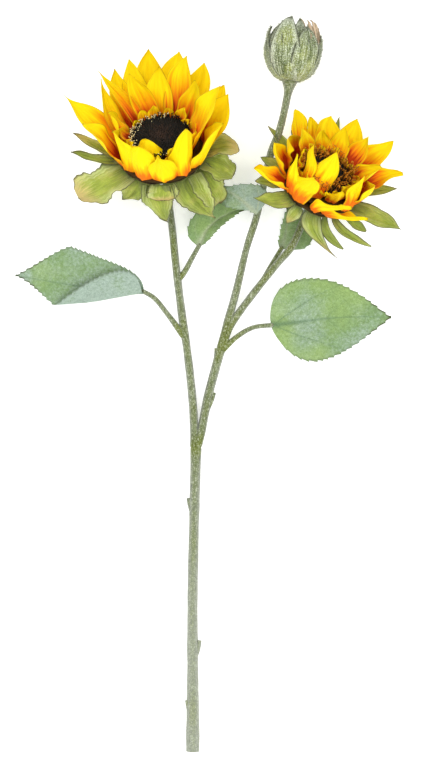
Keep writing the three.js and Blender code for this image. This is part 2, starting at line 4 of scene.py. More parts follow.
import bpy
import numpy as np
from bpy.props import FloatProperty, FloatVectorProperty, IntProperty, PointerProperty
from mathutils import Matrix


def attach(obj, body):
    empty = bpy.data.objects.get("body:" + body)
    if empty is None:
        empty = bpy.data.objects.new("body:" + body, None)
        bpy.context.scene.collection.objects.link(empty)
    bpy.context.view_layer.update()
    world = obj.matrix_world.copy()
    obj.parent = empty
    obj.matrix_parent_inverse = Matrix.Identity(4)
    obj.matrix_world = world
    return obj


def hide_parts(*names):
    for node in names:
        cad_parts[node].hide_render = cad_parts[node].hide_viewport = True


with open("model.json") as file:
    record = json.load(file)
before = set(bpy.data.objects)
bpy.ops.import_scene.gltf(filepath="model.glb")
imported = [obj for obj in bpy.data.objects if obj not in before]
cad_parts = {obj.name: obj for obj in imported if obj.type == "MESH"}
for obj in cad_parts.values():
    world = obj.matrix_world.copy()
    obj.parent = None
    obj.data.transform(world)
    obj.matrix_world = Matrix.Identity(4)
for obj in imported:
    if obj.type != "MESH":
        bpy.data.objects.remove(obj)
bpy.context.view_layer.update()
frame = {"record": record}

bl_info = {
    "name": "Artificial Sunflower Spray",
    "version": (1, 0, 0),
    "blender": (4, 5, 0),
    "location": "View3D > Sidebar > Spray",
    "description": "Cloth blooms, flocked leaves, a bud and stems for a cut artificial sunflower spray",
    "category": "Add Mesh",
}

# Lengths below are in millimetres from the middle of the stem's cut end, with Z from the floor
# that the solids were drawn on, and angles are in degrees. The rows follow those of the solids,
# with small shifts where the cloth lies otherwise than the plain blades do.
MM = 1000
CUT_END_HEIGHT = 5.6
CUT_END = next(m for m in frame["record"]["mounts"] if m["name"] == "cut_end")
SHIFT = np.array(CUT_END["pos_m"]) * MM - (0, 0, CUT_END_HEIGHT)
SEED = 7
FLOOR_SOFTNESS = 0.8

# Stems and stalks: the route of the middle, and the radii that it passes through; the lengths
# of their slow swellings, and how far a fork's knuckle and the flare under the bud reach
STEMS = {
    "main_stem": (
        [(0, 0, 5.6), (0, 20, 5.6), (-0.1, 61, 6), (-0.4, 121, 6.3), (0.7, 183, 6.8),
         (1.7, 223, 7.2), (2.4, 252, 7.6)],
        [5.5, 4.7, 4.2, 4.0, 4.0, 4.2]),
    "left_stem": (
        [(1.6, 247, 7.6), (0.4, 279, 8), (-2, 305, 8), (-5.3, 332, 8.5), (-9, 357, 9),
         (-14.3, 400, 9), (-16.7, 425, 9.2), (-19.2, 446, 9.2)],
        [3.4, 3.3, 3.3, 3.2, 2.9, 2.8]),
    "right_stem": (
        [(3.2, 248, 7.8), (7, 263, 8), (9.9, 278, 8), (13.2, 294, 8.5), (19.6, 318, 9),
         (23.2, 331.5, 9.5)],
        [3.4, 3.6, 3.6, 3.7]),
    "bud_stem": (
        [(22.4, 327, 9.4), (27, 346, 10), (34.3, 372, 11), (44.2, 413, 13.5), (51.8, 437, 15.5),
         (63.3, 488, 18.4), (70.4, 507, 19.8), (77, 536, 21.9), (78.4, 545.3, 22.4)],
        [3.3, 3.2, 2.9, 2.8, 2.9, 3.0, 6.0]),
    "right_bloom_stem": (
        [(23.6, 328, 9.6), (30.2, 347, 10.5), (47.5, 372, 12), (68.9, 399, 13.2), (80.6, 413, 13.4)],
        [3.0, 3.0, 2.9, 2.9, 2.9]),
    "left_leaf_stalk": (
        [(-6.3, 338.5, 8.6), (-20.9, 357.8, 11), (-31.7, 370.8, 13.5), (-42.5, 377.2, 14.5)],
        [2.7, 2.2, 2.0, 1.9]),
    "right_leaf_stalk": (
        [(22, 326.5, 9.3), (36.8, 339.9, 10), (48.9, 346.7, 11), (66, 348.9, 12)],
        [2.6, 2.1, 2.0, 1.9]),
    "inner_leaf_stalk": (
        [(-12.8, 385, 9), (-7, 392, 9), (-1.2, 402.7, 9.5), (6, 415.5, 10.5)],
        [2.4, 2.2, 2.0, 1.9]),
    "low_leaf_stalk": (
        [(50, 374.5, 11.6), (56.4, 384.5, 8.2), (64.6, 398.7, 5.6), (73.5, 413.5, 5)],
        [2.2, 2.0, 1.9, 1.8]),
}
KNOT_LENGTHS = (23, 37, 61)
KNUCKLE = 13
FLARE_LENGTH = 20

# The stems that run up into a bloom's cup, and the heights of that stretch on the bloom's axis
BLOOM_STEMS = {"left_stem": "left_bloom", "right_bloom_stem": "right_bloom"}
NECK_HEIGHTS = (-47.8, -39.8)

# Stubs of trimmed shoots, which lie along their stem: the stem, the place, the way they point,
# radius, and how far they stand out. Their roots start this far back inside the stem.
STUBS = [
    ("main_stem", (-3.8, 36, 5.8), (-0.16, 1, 0), 1.9, 6),
    ("main_stem", (4.1, 85, 6.2), (0.16, 1, 0), 2.0, 6),
    ("main_stem", (-2.6, 201.5, 7), (-0.18, 1, 0), 1.8, 6),
    ("right_stem", (15.6, 288, 8.6), (0.3, 1, 0), 1.6, 6),
    ("right_stem", (18.7, 324, 9), (0.05, 1, 0), 1.5, 6),
]
STUB_ROOT = 12

# Leaves: the midrib's route; for the left and right halves the greatest width, rise, place of
# that width, squareness of the base, how fast it closes on the tip, how round its edge is at the
# widest place, and how straight it falls from there; the fold's slope, angle and arc; the count
# of teeth; and the side veins, each as the share of the length where it leaves the midrib, how
# far it leans to the tip, and how strong it is; then how yellow-green, how frosted and how
# pale-veined the leaf is
Half = namedtuple("Half", "width rise widest square close bow corner", defaults=(90, 0))
Fold = namedtuple("Fold", "slope angle arc")
Leaf = namedtuple("Leaf", "route left right fold teeth veins warm frost pale")
LEAVES = {
    "left_leaf": Leaf(
        [(-40.5, 376.6, 14.5), (-58, 377.5, 12.5), (-82, 379, 10.5), (-112, 383.5, 12),
         (-144.5, 389, 17)],
        Half(32, 4, 0.33, 0.5, 1.5), Half(31, 6, 0.62, 0.4, 1.35, 30, 0.7), Fold(0.24, 165, 5), 26,
        [(0.3, 0.9, 0.3), (0.5, 0.9, 0.25), (0.7, 0.9, 0.2)], -0.8, 0.5, 0),
    "right_leaf": Leaf(
        [(63.5, 348.8, 12), (84, 350.9, 12.5), (108, 354, 13), (135, 355.5, 11.5), (162, 355.3, 8)],
        Half(34.5, 4, 0.31, 0.45, 1.1), Half(34, 8, 0.34, 0.74, 1), None, 18,
        [(0.02, 1.6, 1), (0.26, 1, 0.3), (0.46, 1, 0.25), (0.66, 1, 0.2)], 0.7, 0.44, 0),
    "inner_leaf": Leaf(
        [(4.8, 413.5, 10.5), (11, 426, 12), (20, 434.5, 13), (32, 441, 12.5), (46, 445.5, 11)],
        Half(16, 12, 0.35, 0.45, 1), Half(9, 40, 0.3, 0.7, 1), None, 11,
        [(0.02, 1, 0.4), (0.35, 0.9, 0.3), (0.6, 0.9, 0.3)], 0.8, 0.2, 1),
    "upper_leaf": Leaf(
        [(51.3, 438.5, 19), (44, 446.5, 21.5), (35, 453.5, 22.5), (25.5, 459, 21.5),
         (16, 463, 19.5)],
        Half(12, 8, 0.6, 1.3, 1), Half(19, 4, 0.2, 0.6, 2.5), None, 9,
        [(0, 0.7, 1), (0.3, 0.9, 0.4)], 0.3, 0.85, 1),
    "low_leaf": Leaf(
        [(72.5, 412, 5), (75.5, 423, 4.5), (78, 437, 4.5), (79.5, 450, 5)],
        Half(5, 20, 0.4, 0.4, 1), Half(23, 4, 0.38, 0.5, 0.8), None, 8,
        [(0, 1.1, 0.8), (0.3, 1, 0.4)], 0.5, 0.3, 0.8),
}

# Blooms: the middle of the disc's rim plane, the lean of the axis and its rise, and the size
# against the left bloom; how far orange runs up its petals, how fast it ends, and how much its
# sepals ruffle against their width. Each blade is a row of turn about the axis, lift, bend added
# by the tip, length, width, arch across it, twist and sway at the tip. Some rows then name their
# own outline, how far the tip curls in, and a tone, which for a sepal goes from green to pale.
Bloom = namedtuple("Bloom", "centre lean rise scale ink fade ruffle outer inner sepals")
BLOOMS = {
    "left_bloom": Bloom(
        (-25.9, 498.6, 44.6), -6.5, 47, 1, 0.01, 1, 0.075,
        [
            (163, 48, -12, 62, 29, 50, -25, -17, "whip", 4, 0.9), (193, 63, 0, 45, 27, 50, -25, -17),
            (148, 59, 0, 54, 18, 50, -30, -17, "whip", 20, 0.7), (122, 50, 0, 54, 22, 40, -20, -6),
            (110, 50, 0, 57, 24, 40, -10, -6), (94, 47, 0, 62, 31, 35, 0, -2),
            (73, 47, 0, 60, 31, 35, 0, 0), (53, 47, 0, 55, 28, 40, 10, 1),
            (28, 50, 0, 48, 26, 40, 20, 0), (2, 60, 0, 50, 35, 50, 45, 9),
            (328, 66, 5, 45, 32, 50, 20, 12), (300, 84, 10, 45, 30, 70, 0, 5, "petal", 14, 0.6),
            (270, 70, 14, 36, 29, 55, 0, -4, "tent", 0, 1), (238, 78, 10, 36, 29, 65, 0, 0, "round", 45, 0),
            (205, 83, 8, 43, 30, 55, 0, 0),
        ],
        [
            (124, 60, 0, 62, 14, 40, -30, 13, "whip", -20, 0.3), (106, 64, 0, 49, 22, 40, -10, 5),
            (86, 58, 0, 48, 24, 35, 0, 0), (61, 55, 0, 59, 26, 35, 0, 3),
            (40, 62, 0, 45, 24, 45, 0, 0), (346, 68, 0, 53, 32, 50, 40, 24),
            (243, 84, 26, 26, 26, 60, 0, -4, "round", 30), (176, 66, 5, 38, 22, 55, 0, -6),
            (215, 70, 10, 26, 22, 50, 0, 0),
        ],
        [
            (206, -9, -25, 42, 40, 30, 0, -17, "blunt", 0, 0.76), (231, -60, -20, 20, 24, 30, 0, -14),
            (247, -78, -20, 13, 13, 30, 0, 0), (257, -62, -30, 35, 27, 30, 0, 7, "tent", 0, 0.42),
            (298, -52, -25, 42, 33, 30, 0, 15, "tent", 0, 0.44),
            (318, -47, -20, 33, 32, 30, 0, 5, "blunt", 0),
            (266, -30, -30, 11, 27, 30, 0, 0, "round", 0, 0.7),
            (340, -15, -15, 26, 31, 30, 0, 0, "blunt", 0), (358, 28, 0, 30, 27, 30, 0, -13, "blunt", -30),
            (172, 28, 0, 43, 13, 30, 0, -5), (182, 13, 0, 40, 12, 30, 0, -8),
            (140, 24, 0, 44, 12, 30, 0, 2), (118, 34, 0, 36, 18, 30, 0, 0),
            (95, 34, 0, 34, 20, 30, 0, 0), (72, 34, 0, 36, 18, 30, 0, 0),
            (48, 35, 0, 36, 20, 30, 0, 0), (24, 34, 0, 32, 20, 30, 0, 0),
        ]),
    "right_bloom": Bloom(
        (107.2, 469.5, 40.6), 27, 45, 0.9, 0.32, 1.35, 0.03,
        [
            (138, 44, 0, 41, 17, 50, 0, 3, "round", 0),
            (163, 62, 12, 32, 29, 60, 25, 9, "round", 30),
            (190, 52, 0, 33, 26, 60, 0, 0, "petal", 20, 0.8), (218, 22, 0, 31, 24, 70, 0, -9, "petal", -8, 1),
            (228, 62, 36, 38, 20, 50, -20, -8), (246, 76, 6, 40, 24, 34, 14, 11, "petal", 0, 0.9),
            (280, 60, 0, 33, 18, 70, 0, 22, "petal", 25), (298, 44, 0, 32, 16, 60, 0, 24),
            (340, 80, 20, 43, 22, 55, 0, 0), (0, 62, 22, 36, 28, 50, 0, -8),
            (33, 40, 0, 42, 22, 50, 0, -5), (55, 48, 0, 48, 24, 40, 0, -2),
            (79, 52, 0, 43, 27, 40, 0, 9), (102, 47, 0, 38, 28, 40, 0, 7),
            (120, 46, 0, 34, 20, 40, 0, 4),
        ],
        [
            (238, 70, 50, 40, 15, 60, 0, -11), (266, 78, 60, 45, 23, 50, 0, 0),
            (345, 70, 20, 24, 20, 60, 0, 0), (24, 62, 0, 34, 22, 50, 0, 0),
            (310, 60, 20, 19, 20, 50, 0, 0),
            (61, 58, 0, 38, 20, 40, 0, 2), (90, 62, 0, 33, 20, 40, 0, 2),
            (112, 60, 0, 27, 18, 40, 0, 6), (150, 62, 0, 30, 20, 50, 0, 0),
        ],
        [
            (151, 25, 0, 36, 15, 55, 10, 13, "sepal", 30, 0.46), (138, 30, 0, 26, 9, 60, 0, 2),
            (236, -24, 0, 22, 20, 30, 0, -17), (256, -72, 0, 16, 12, 30, 0, -2),
            (280, -66, -20, 29, 19, 30, 0, 33, "claw", 0, 0.8),
            (300, -66, -10, 26, 11, 30, 0, 23, "tongue", 0, 0.1),
            (315, -26, -6, 26, 12, 30, 0, 29, "tongue", 0, 0.1),
            (337, -16, 0, 20, 11, 30, 0, 7, "tongue", 0, 0.1),
            (355, 6, 0, 43, 24, 30, 0, 6, "sepal", 0, 0.15),
            (28, 25, 0, 35, 14, 30, 0, -3, "sepal", 0, 0.2),
            (93, 38, 0, 41, 8, 30, 0, 10), (118, 34, 0, 30, 16, 30, 0, 0),
            (72, 34, 0, 30, 18, 30, 0, 0), (50, 33, 0, 30, 16, 30, 0, 0),
            (205, -4, 0, 22, 18, 30, 0, 0), (180, 10, 0, 22, 16, 30, 0, 0),
        ]),
}

# Layers of a bloom at scale 1, as radius and height pairs, and where each layer's blades start
DISC_DOME = [(0, -3.2), (20, -3.2), (23.6, -2.6), (23.4, 0), (20, 2.6), (14, 4.4), (6, 4.4), (0, 3.8)]
FLORET_BOWL = [(0, -7.6), (20, -7.6), (23.2, -6.4), (23.6, -5), (20, -3.8), (0, -3.6)]
INNER_BOWL = [(0, -12), (26, -12), (31.5, -11), (31, -9), (25, -8.4), (0, -8.2)]
OUTER_BOWL = [(0, -18), (30, -18), (35.4, -16.8), (35, -15.2), (29, -15), (0, -15)]
SAUCER = [(0, -27.3), (14, -27.3), (24, -25), (31, -22), (36.4, -18.6), (35.9, -17.7), (33, -18.8),
          (0, -18.8)]
CUP = [(0, -39.4), (4.6, -39.2), (7.4, -37.4), (10, -34), (12, -30.6), (13.4, -28), (0, -27.6)]
BASES = {"outer": (34.5, -16.5), "inner": (25.5, -10), "sepals": (33, -20.2), "florets": (22, -5.6)}

# How deep petals and sepals are pleated, and how much petals ruffle
PLEAT = 0.8
PETAL_RUFFLE = 1.5

# How far each sepal's foot reaches into the saucer, and how ragged its edge is against its ruffle
SEPAL_ROOT = 2
SEPAL_RAGS = 0.012

# How far the tip of a blade may stray to the side, against its length, and how far it curls in at
# the least and the most where its row doesn't say
HOOK = 0.05
TIP_CURL = (-30, 16)

# How far from their edges the dark brinks of blades and of leaves fade
BLADE_BRINK = 0.7
LEAF_BRINK = 1.1

# The short florets round each disc, and those of the disc: how far out the disc's reach, the
# angle from each to the next, and the dome's height under them, as radii and heights
RING_FLORETS = 15
DISC_REACH = 23
GOLDEN_ANGLE = 137.508
DOME_RADII = [0, 6, 14, 20, 23.4]
DOME_HEIGHTS = [3.8, 4.4, 4.4, 2.6, 0.2]

# Outlines of blades: width at the base, where it is widest and how fast it closes on the tip
Outline = namedtuple("Outline", "base widest close")
OUTLINES = {
    "petal": Outline(0.66, 0.48, 0.9),
    "whip": Outline(0.66, 0.4, 1.5),
    "round": Outline(0.75, 0.6, 0.5),
    "tent": Outline(0.9, 0.25, 1.3),
    "floret": Outline(0.7, 0.55, 0.5),
    "sepal": Outline(0.8, 0.42, 0.95),
    "blunt": Outline(0.8, 0.6, 0.45),
    "tongue": Outline(0.4, 0.62, 0.5),
    "claw": Outline(0.8, 0.3, 1.15),
    "bract": Outline(0.7, 0.4, 0.8),
}

# Threads round each disc: their count, the radii they stand between, their least and greatest
# height, how far they curl, how thick they are, and whether they are gold all along
Threads = namedtuple("Threads", "count inner outer low high curl thick gold")
THREADS = {
    "left_bloom": Threads(540, 17.5, 24.4, 2.0, 5.0, 1.4, 0.24, 0),
    "right_bloom": Threads(340, 12, 24, 5.5, 12.5, 4.4, 0.27, 1),
}

# The bud: an egg with its own core, and its bracts as turn, share of the height reached, half
# width and stand-off, where those that stand off less than the low mark lie in the hollows; then
# the same for the petals that show between them, and how far and fast their feet sink in
BUD_BASE = (78.5, 546, 22.4)
BUD_AXIS = (0.113, 0.993, 0.01)
BUD_RADIUS = 20.2
BUD_HEIGHT = 52.8
BUD_LOWNESS = 0.95
BUD_FULLNESS = 0.4
BUD_CORE = 0.74
BUD_HAIRS = 6500
BRACT_START = 0.02
BRACT_SINK = (1.5, 8)
BRACT_LOW = 1.5
BRACTS = [
    (194, 0.76, 7, 2.2), (222, 0.88, 8, 1.1), (250, 0.985, 11, 2.1), (284, 0.96, 7, 1),
    (304, 0.84, 11, 2.2), (334, 0.86, 8, 1), (354, 0.74, 7, 2.1), (22, 0.88, 9, 1.1),
    (52, 0.8, 10, 2), (84, 0.92, 10, 1), (114, 0.8, 10, 2), (144, 0.9, 9, 1.1), (170, 0.82, 8, 2),
]
BUD_PETALS = [
    (306, 0.88, 1.6, 2.4), (313, 0.95, 1.8, 2.8), (319, 0.9, 1.6, 2.2), (325, 0.97, 2, 2.9),
    (331, 0.9, 1.6, 2.4), (337, 0.94, 1.8, 3), (343, 0.86, 1.6, 2.4), (350, 0.9, 1.8, 2.9),
    (358, 0.84, 1.8, 2.4), (292, 0.97, 2.4, 0.5),
]
BUD_PETAL_START = 0.4
BUD_PETAL_SINK = (3.4, 2)
BUD_STEM_END = (79.1, 552, 22.5)
BUD_STEM_FLARE = 4.6

# The camera stands over the spray, with its height and aim against the cut end's middle. The
# lights' places and sizes are in metres, with their power in watts.
CAMERA_PLACE = (15.952, 300.632, 2350)
CAMERA_LENS = 134.3
CAMERA_REACH = 20.0
LIGHTS = {
    "key_light": ((-0.9, 1.1, 1.9), 1.5, 22.0),
    "fill_light": ((1.3, 0.2, 1.7), 1.6, 13.0),
    "low_light": ((0.1, -1.5, 1.5), 1.6, 18.0),
}
STUDIO_LIGHT = 0.72
FLOOR_REACH = 6.0


def linear(code):
    """The linear colour of an sRGB hex code: c / 12.92 in the dark, and above it
    ((c + 0.055) / 1.055) ^ 2.4."""
    c = np.array([int(code[i:i + 2], 16) for i in (1, 3, 5)]) / 255
    return tuple(np.where(c < 0.04045, c / 12.92, ((c + 0.055) / 1.055) ** 2.4))


def colour(name, code):
    """A colour property whose default is an sRGB hex code."""
    return FloatVectorProperty(
        name=name, description=f"Colour of {name.lower()}", subtype="COLOR", size=3,
        min=0, max=1, default=linear(code))


def size(name, description, default, least=0.0):
    """A property for a length in metres."""
    return FloatProperty(
        name=name, description=description, default=default, min=least, subtype="DISTANCE", unit="LENGTH")


class SpraySizes(bpy.types.PropertyGroup):
    """Sizes that finish the pieces, in metres."""

    petal_thickness: size("Petal thickness", "Thickness of petals and florets", 0.0005, 0.0002)
    sepal_thickness: size("Sepal thickness", "Thickness of sepals and bracts", 0.0007, 0.0002)
    leaf_thickness: size("Leaf thickness", "Thickness of the leaves", 0.0008, 0.0002)
    tooth_depth: size("Tooth depth", "How far the teeth of a leaf stand out", 0.0015)
    fuzz_length: size("Fuzz length", "Length of the hairs on the bud", 0.0022)
    disc_florets: IntProperty(
        name="Disc florets", description="Number of florets on each disc", default=460, min=50)


class SprayColours(bpy.types.PropertyGroup):
    """Colours of the finishes."""

    petal_yellow: colour("Petal yellow", "#fede08")
    petal_gold: colour("Petal gold", "#f9ad04")
    petal_orange: colour("Petal orange", "#f37812")
    petal_red: colour("Petal base", "#c4400f")
    petal_rim: colour("Petal rim", "#806012")
    # Painted shade: the dark laid on the bowls behind the petals and inside the saucer's rim
    petal_painted_shade: colour("Hollow behind the petals", "#3a2a12")
    sepal_green: colour("Sepal green", "#b4c34e")
    sepal_shade: colour("Sepal shade", "#899a38")
    sepal_pale: colour("Sepal pale", "#cdd494")
    sepal_tan: colour("Sepal tan", "#cf9a72")
    sepal_yellow: colour("Sepal yellow", "#cbc070")
    sepal_rim: colour("Sepal rim", "#4c4a28")
    # Painted shadow on the sepals' feet, under the petals
    sepal_shadow: colour("Sepal foot", "#4f5a26")
    leaf_green: colour("Leaf green", "#7d9a66")
    leaf_frost: colour("Leaf frost", "#9cafa0")
    leaf_patch: colour("Leaf patch", "#96b163")
    leaf_vein: colour("Leaf vein", "#587657")
    leaf_rib: colour("Leaf rib", "#b4bd9c")
    leaf_rim: colour("Leaf rim", "#525f46")
    stem_green: colour("Stem green", "#828e5c")
    stem_patch: colour("Stem patch", "#7e8a40")
    stem_side: colour("Stem sides", "#a3a997")
    stem_flock: colour("Stem flock", "#cdd1c2")
    disc_dark: colour("Disc dark", "#1e1b15")
    disc_brown: colour("Disc brown", "#3d2b20")
    stamen_gold: colour("Stamen gold", "#c47c1e")
    stamen_cream: colour("Stamen cream", "#fff0b4")
    bud_green: colour("Bud green", "#93a06a")
    bud_shade: colour("Bud shade", "#566336")
    bud_patch: colour("Bud patch", "#99a14c")
    bud_frost: colour("Bud frost", "#cdd3c0")
    # Dark rims and tips, and painted shade on the bud's core and low bracts
    bud_rim_and_shade: colour("Bud rim", "#454a2c")
    bud_petal: colour("Bud petal tips", "#ddc3a2")
    floor_pale: colour("Floor", "#fbfbfa")


# Forms: points, faces and named values at the points

Form = namedtuple("Form", "points quads tris values")


def unit(v):
    """v divided by its length, along the last axis."""
    return v / np.linalg.norm(v, axis=-1, keepdims=True)


def smooth(a, b, x):
    """0 below a, 1 above b, and 3t^2 - 2t^3 between them."""
    t = np.clip((x - a) / (b - a), 0, 1)
    return t * t * (3 - 2 * t)


def outward(form):
    """The form with its faces turned over if the volume that they close comes out negative."""
    p = form.points
    tris = np.vstack([form.quads[:, [0, 1, 2]], form.quads[:, [0, 2, 3]], form.tris])
    volume = np.einsum("ij,ij->", p[tris[:, 0]], np.cross(p[tris[:, 1]], p[tris[:, 2]]))
    if volume > 0:
        return form
    return form._replace(quads=form.quads[:, ::-1], tris=form.tris[:, ::-1])


def joined(forms):
    """Several forms as one, each keeping its own faces and values."""
    starts = np.cumsum([0] + [len(f.points) for f in forms])
    names = sorted(set(k for f in forms for k in f.values))
    return Form(
        np.vstack([f.points for f in forms]),
        np.vstack([f.quads + k for f, k in zip(forms, starts)]),
        np.vstack([f.tris + k for f, k in zip(forms, starts)]),
        {n: np.concatenate([f.values.get(n, np.zeros(len(f.points))) for f in forms]) for n in names})


def round_form(rings, **values):
    """Rings of points joined side by side, closed at both ends by a fan on the ring's middle."""
    rows, cols = rings.shape[:2]
    index = np.arange(rows * cols).reshape(rows, cols)
    beside = np.roll(index, -1, axis=1)
    quads = np.stack([index[:-1], beside[:-1], beside[1:], index[1:]], -1).reshape(-1, 4)
    first = np.full(cols, rows * cols)
    tris = np.vstack([
        np.stack([first, beside[0], index[0]], -1),
        np.stack([first + 1, index[-1], beside[-1]], -1)])
    points = np.vstack([rings.reshape(-1, 3), rings[0].mean(0), rings[-1].mean(0)])
    spread = {}
    for name, value in values.items():
        value = np.broadcast_to(value, (rows, cols)).astype(float)
        spread[name] = np.concatenate([value.ravel(), [value[0].mean(), value[-1].mean()]])
    return outward(Form(points, quads, tris, spread))


def shell(sheet, wall, **values):
    """A sheet of points given a wall: each face lies half the wall along the sheet's normal,
    which is the cross product of its slopes along and across, and a rim joins the two."""
    along, across = np.gradient(sheet, axis=0), np.gradient(sheet, axis=1)
    normal = unit(np.cross(along, across) + 1e-12)
    half = normal * np.broadcast_to(wall, sheet.shape[:2])[..., None] / 2
    rows, cols = sheet.shape[:2]
    count = rows * cols
    index = np.arange(count).reshape(rows, cols)
    faces = np.stack([index[:-1, :-1], index[1:, :-1], index[1:, 1:], index[:-1, 1:]], -1).reshape(-1, 4)
    edge = np.concatenate([index[0, :-1], index[:-1, -1], index[-1, :0:-1], index[:0:-1, 0]])
    beside = np.roll(edge, -1)
    rim = np.stack([edge, beside, beside + count, edge + count], -1)
    quads = np.vstack([faces, faces[:, ::-1] + count, rim])
    points = np.vstack([(sheet + half).reshape(-1, 3), (sheet - half).reshape(-1, 3)])
    spread = {"front": np.repeat([1.0, 0.0], count)}
    for name, value in values.items():
        spread[name] = np.tile(np.broadcast_to(value, (rows, cols)).astype(float).ravel(), 2)
    return outward(Form(points, quads, np.zeros((0, 3), int), spread))


def curve_through(points, count):
    """Points evenly spaced on the smooth curve through the given ones, its unit tangents and its
    length. Each stretch is a Catmull-Rom cubic with knots apart by the root of the distance."""
    p = np.asarray(points, float)
    p = np.vstack([2 * p[0] - p[1], p, 2 * p[-1] - p[-2]])
    gaps = np.linalg.norm(np.diff(p, axis=0), axis=1) ** 0.5
    knots = np.concatenate([[0], np.cumsum(gaps)])
    stretches = []
    for k in range(1, len(p) - 2):
        t = np.linspace(knots[k], knots[k + 1], 48)[:, None]
        a = [(p[j] * (knots[j + 1] - t) + p[j + 1] * (t - knots[j])) / (knots[j + 1] - knots[j])
             for j in (k - 1, k, k + 1)]
        b = [(a[j] * (knots[k + 1 + j] - t) + a[j + 1] * (t - knots[k - 1 + j]))
             / (knots[k + 1 + j] - knots[k - 1 + j]) for j in (0, 1)]
        stretches.append((b[0] * (knots[k + 1] - t) + b[1] * (t - knots[k])) / (knots[k + 1] - knots[k]))
    fine = np.vstack(stretches)
    far = np.concatenate([[0], np.cumsum(np.linalg.norm(np.diff(fine, axis=0), axis=1))])
    even = np.linspace(0, far[-1], count)
    line = np.column_stack([np.interp(even, far, fine[:, i]) for i in range(fine.shape[1])])
    return line, unit(np.gradient(line, axis=0)), far[-1]


def limb(line, radius, side, up, angle):
    """Rings of points round a line: middle + r (cos a side + sin a up)."""
    ring = np.cos(angle)[:, None] * side[:, None] + np.sin(angle)[:, None] * up[:, None]
    return line[:, None] + radius[..., None] * ring


def spokes(axes, angle):
    """The ways out from an axis and round it at an angle: cos a right + sin a back, and
    cos a back - sin a right."""
    right, back = axes[:2]
    c, s = np.cos(angle)[..., None], np.sin(angle)[..., None]
    return c * right + s * back, c * back - s * right


def around(origin, axes, radius, angle, height):
    """Points about an axis: origin + r (cos a right + sin a back) + h out."""
    return np.array(origin) + radius[..., None] * spokes(axes, angle)[0] + height[..., None] * axes[2]


def tube(route, radii, rng, sides=28, step=1.4, square=(False, False), flare=0.0, knuckle=1.0):
    """A limb along a route, where r follows the radii with low ribs and knots along it, swells at
    the fork, widens by the flare at its end, and closes on each end like a dome unless that end is
    cut square."""
    length = curve_through(route, 64)[2]
    count = max(24, int(length / step))
    line, way, length = curve_through(route, count)
    s = np.linspace(0, 1, count)
    side = unit(np.cross((0, 0, 1), way))
    up = np.cross(way, side)
    angle = np.linspace(0, 2 * np.pi, sides, endpoint=False)
    radius = np.interp(s, np.linspace(0, 1, len(radii)), radii)
    radius = radius + flare * smooth(length - FLARE_LENGTH, length, s * length) ** 1.5
    knots = np.mean([np.sin(2 * np.pi * (s * length / w + rng.random())) for w in KNOT_LENGTHS], axis=0)
    ribs = np.cos(5 * angle + 3 * s[:, None]) * 0.035 + np.cos(9 * angle - 5 * s[:, None]) * 0.02
    node = knuckle * np.exp(-((1 - s if square[0] else s) * length / KNUCKLE) ** 2)[:, None]
    r = (radius * (1 + 0.05 * knots))[:, None] * (1 + ribs + 0.1 * node)
    ends = ((s, radii[0], square[0]), (1 - s, radii[-1], square[1]))
    for share, last, is_square in ends:
        if not is_square:
            r = r * np.sqrt(np.clip(1 - (1 - share * length / last).clip(0) ** 2, 0.02, 1))[:, None]
    rings = limb(line, r, side, up, angle)
    return round_form(rings, rib=0.5 + 8 * ribs, top=np.sin(angle)[None], node=node)


def scattered(template, tris, places, axes, sizes, **values):
    """One small template, of points and triangles, set at many places. Point i of copy n is
    place n + size n (template i in the axes of copy n)."""
    points = places[:, None] + np.einsum("ij,njk->nik", template, axes) * sizes[:, None, None]
    count, each = points.shape[:2]
    faces = tris[None] + (np.arange(count) * each)[:, None, None]
    spread = {n: np.repeat(np.broadcast_to(v, count).astype(float), each) for n, v in values.items()}
    return Form(points.reshape(-1, 3), np.zeros((0, 4), int), faces.reshape(-1, 3), spread)


def spike(sides, widths):
    """A closed spike as template points and triangles: rings of the given radius and height
    pairs about Z, closed below on the middle and above on a tip."""
    angle = np.linspace(0, 2 * np.pi, sides, endpoint=False)
    rings = [np.column_stack([r * np.cos(angle), r * np.sin(angle), np.full(sides, h)])
             for r, h in widths[:-1]]
    points = np.vstack([*rings, (0, 0, widths[0][1]), (0, 0, widths[-1][1])])
    k = np.arange(sides)
    n = (k + 1) % sides
    foot, tip = len(points) - 2, len(points) - 1
    top = (len(rings) - 1) * sides
    tris = [np.stack([np.full(sides, foot), n, k], -1),
            np.stack([np.full(sides, tip), k + top, n + top], -1)]
    for row in range(len(rings) - 1):
        a, b = k + row * sides, n + row * sides
        tris += [np.stack([a, b, b + sides], -1), np.stack([a, b + sides, a + sides], -1)]
    return points, np.vstack(tris)


def frames_on(directions):
    """Rows of side, other side and direction, for spikes that point the given ways. The side is
    square to a fixed slanting line, which none of them follows."""
    z = unit(directions)
    side = unit(np.cross(z, (0.31, 0.52, 0.79)))
    return np.stack([side, np.cross(z, side), z], axis=1)


def piece(name, forms, finish, nodes):
    """Puts forms into one mesh object at the origin, dressed, riding on the spray's one body. No
    point goes below the floor: its height z becomes (z + root of (z^2 + softness^2)) / 2."""
    form = joined(forms)
    mesh = bpy.data.meshes.new(name)
    points = form.points + SHIFT
    points[:, 2] = (points[:, 2] + np.hypot(points[:, 2], FLOOR_SOFTNESS)) / 2
    points = points / MM
    mesh.from_pydata(points.tolist(), [], form.quads.tolist() + form.tris.tolist())
    for key, value in form.values.items():
        mesh.attributes.new(key, "FLOAT", "POINT").data.foreach_set("value", value.astype(np.float32))
    mesh.polygons.foreach_set("use_smooth", np.ones(len(mesh.polygons), bool))
    mesh.materials.append(finish)
    mesh.update()
    made = bpy.data.objects.new(name, mesh)
    bpy.context.scene.collection.objects.link(made)
    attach(made, "root")
    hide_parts(*nodes)
    return made


# Finishes

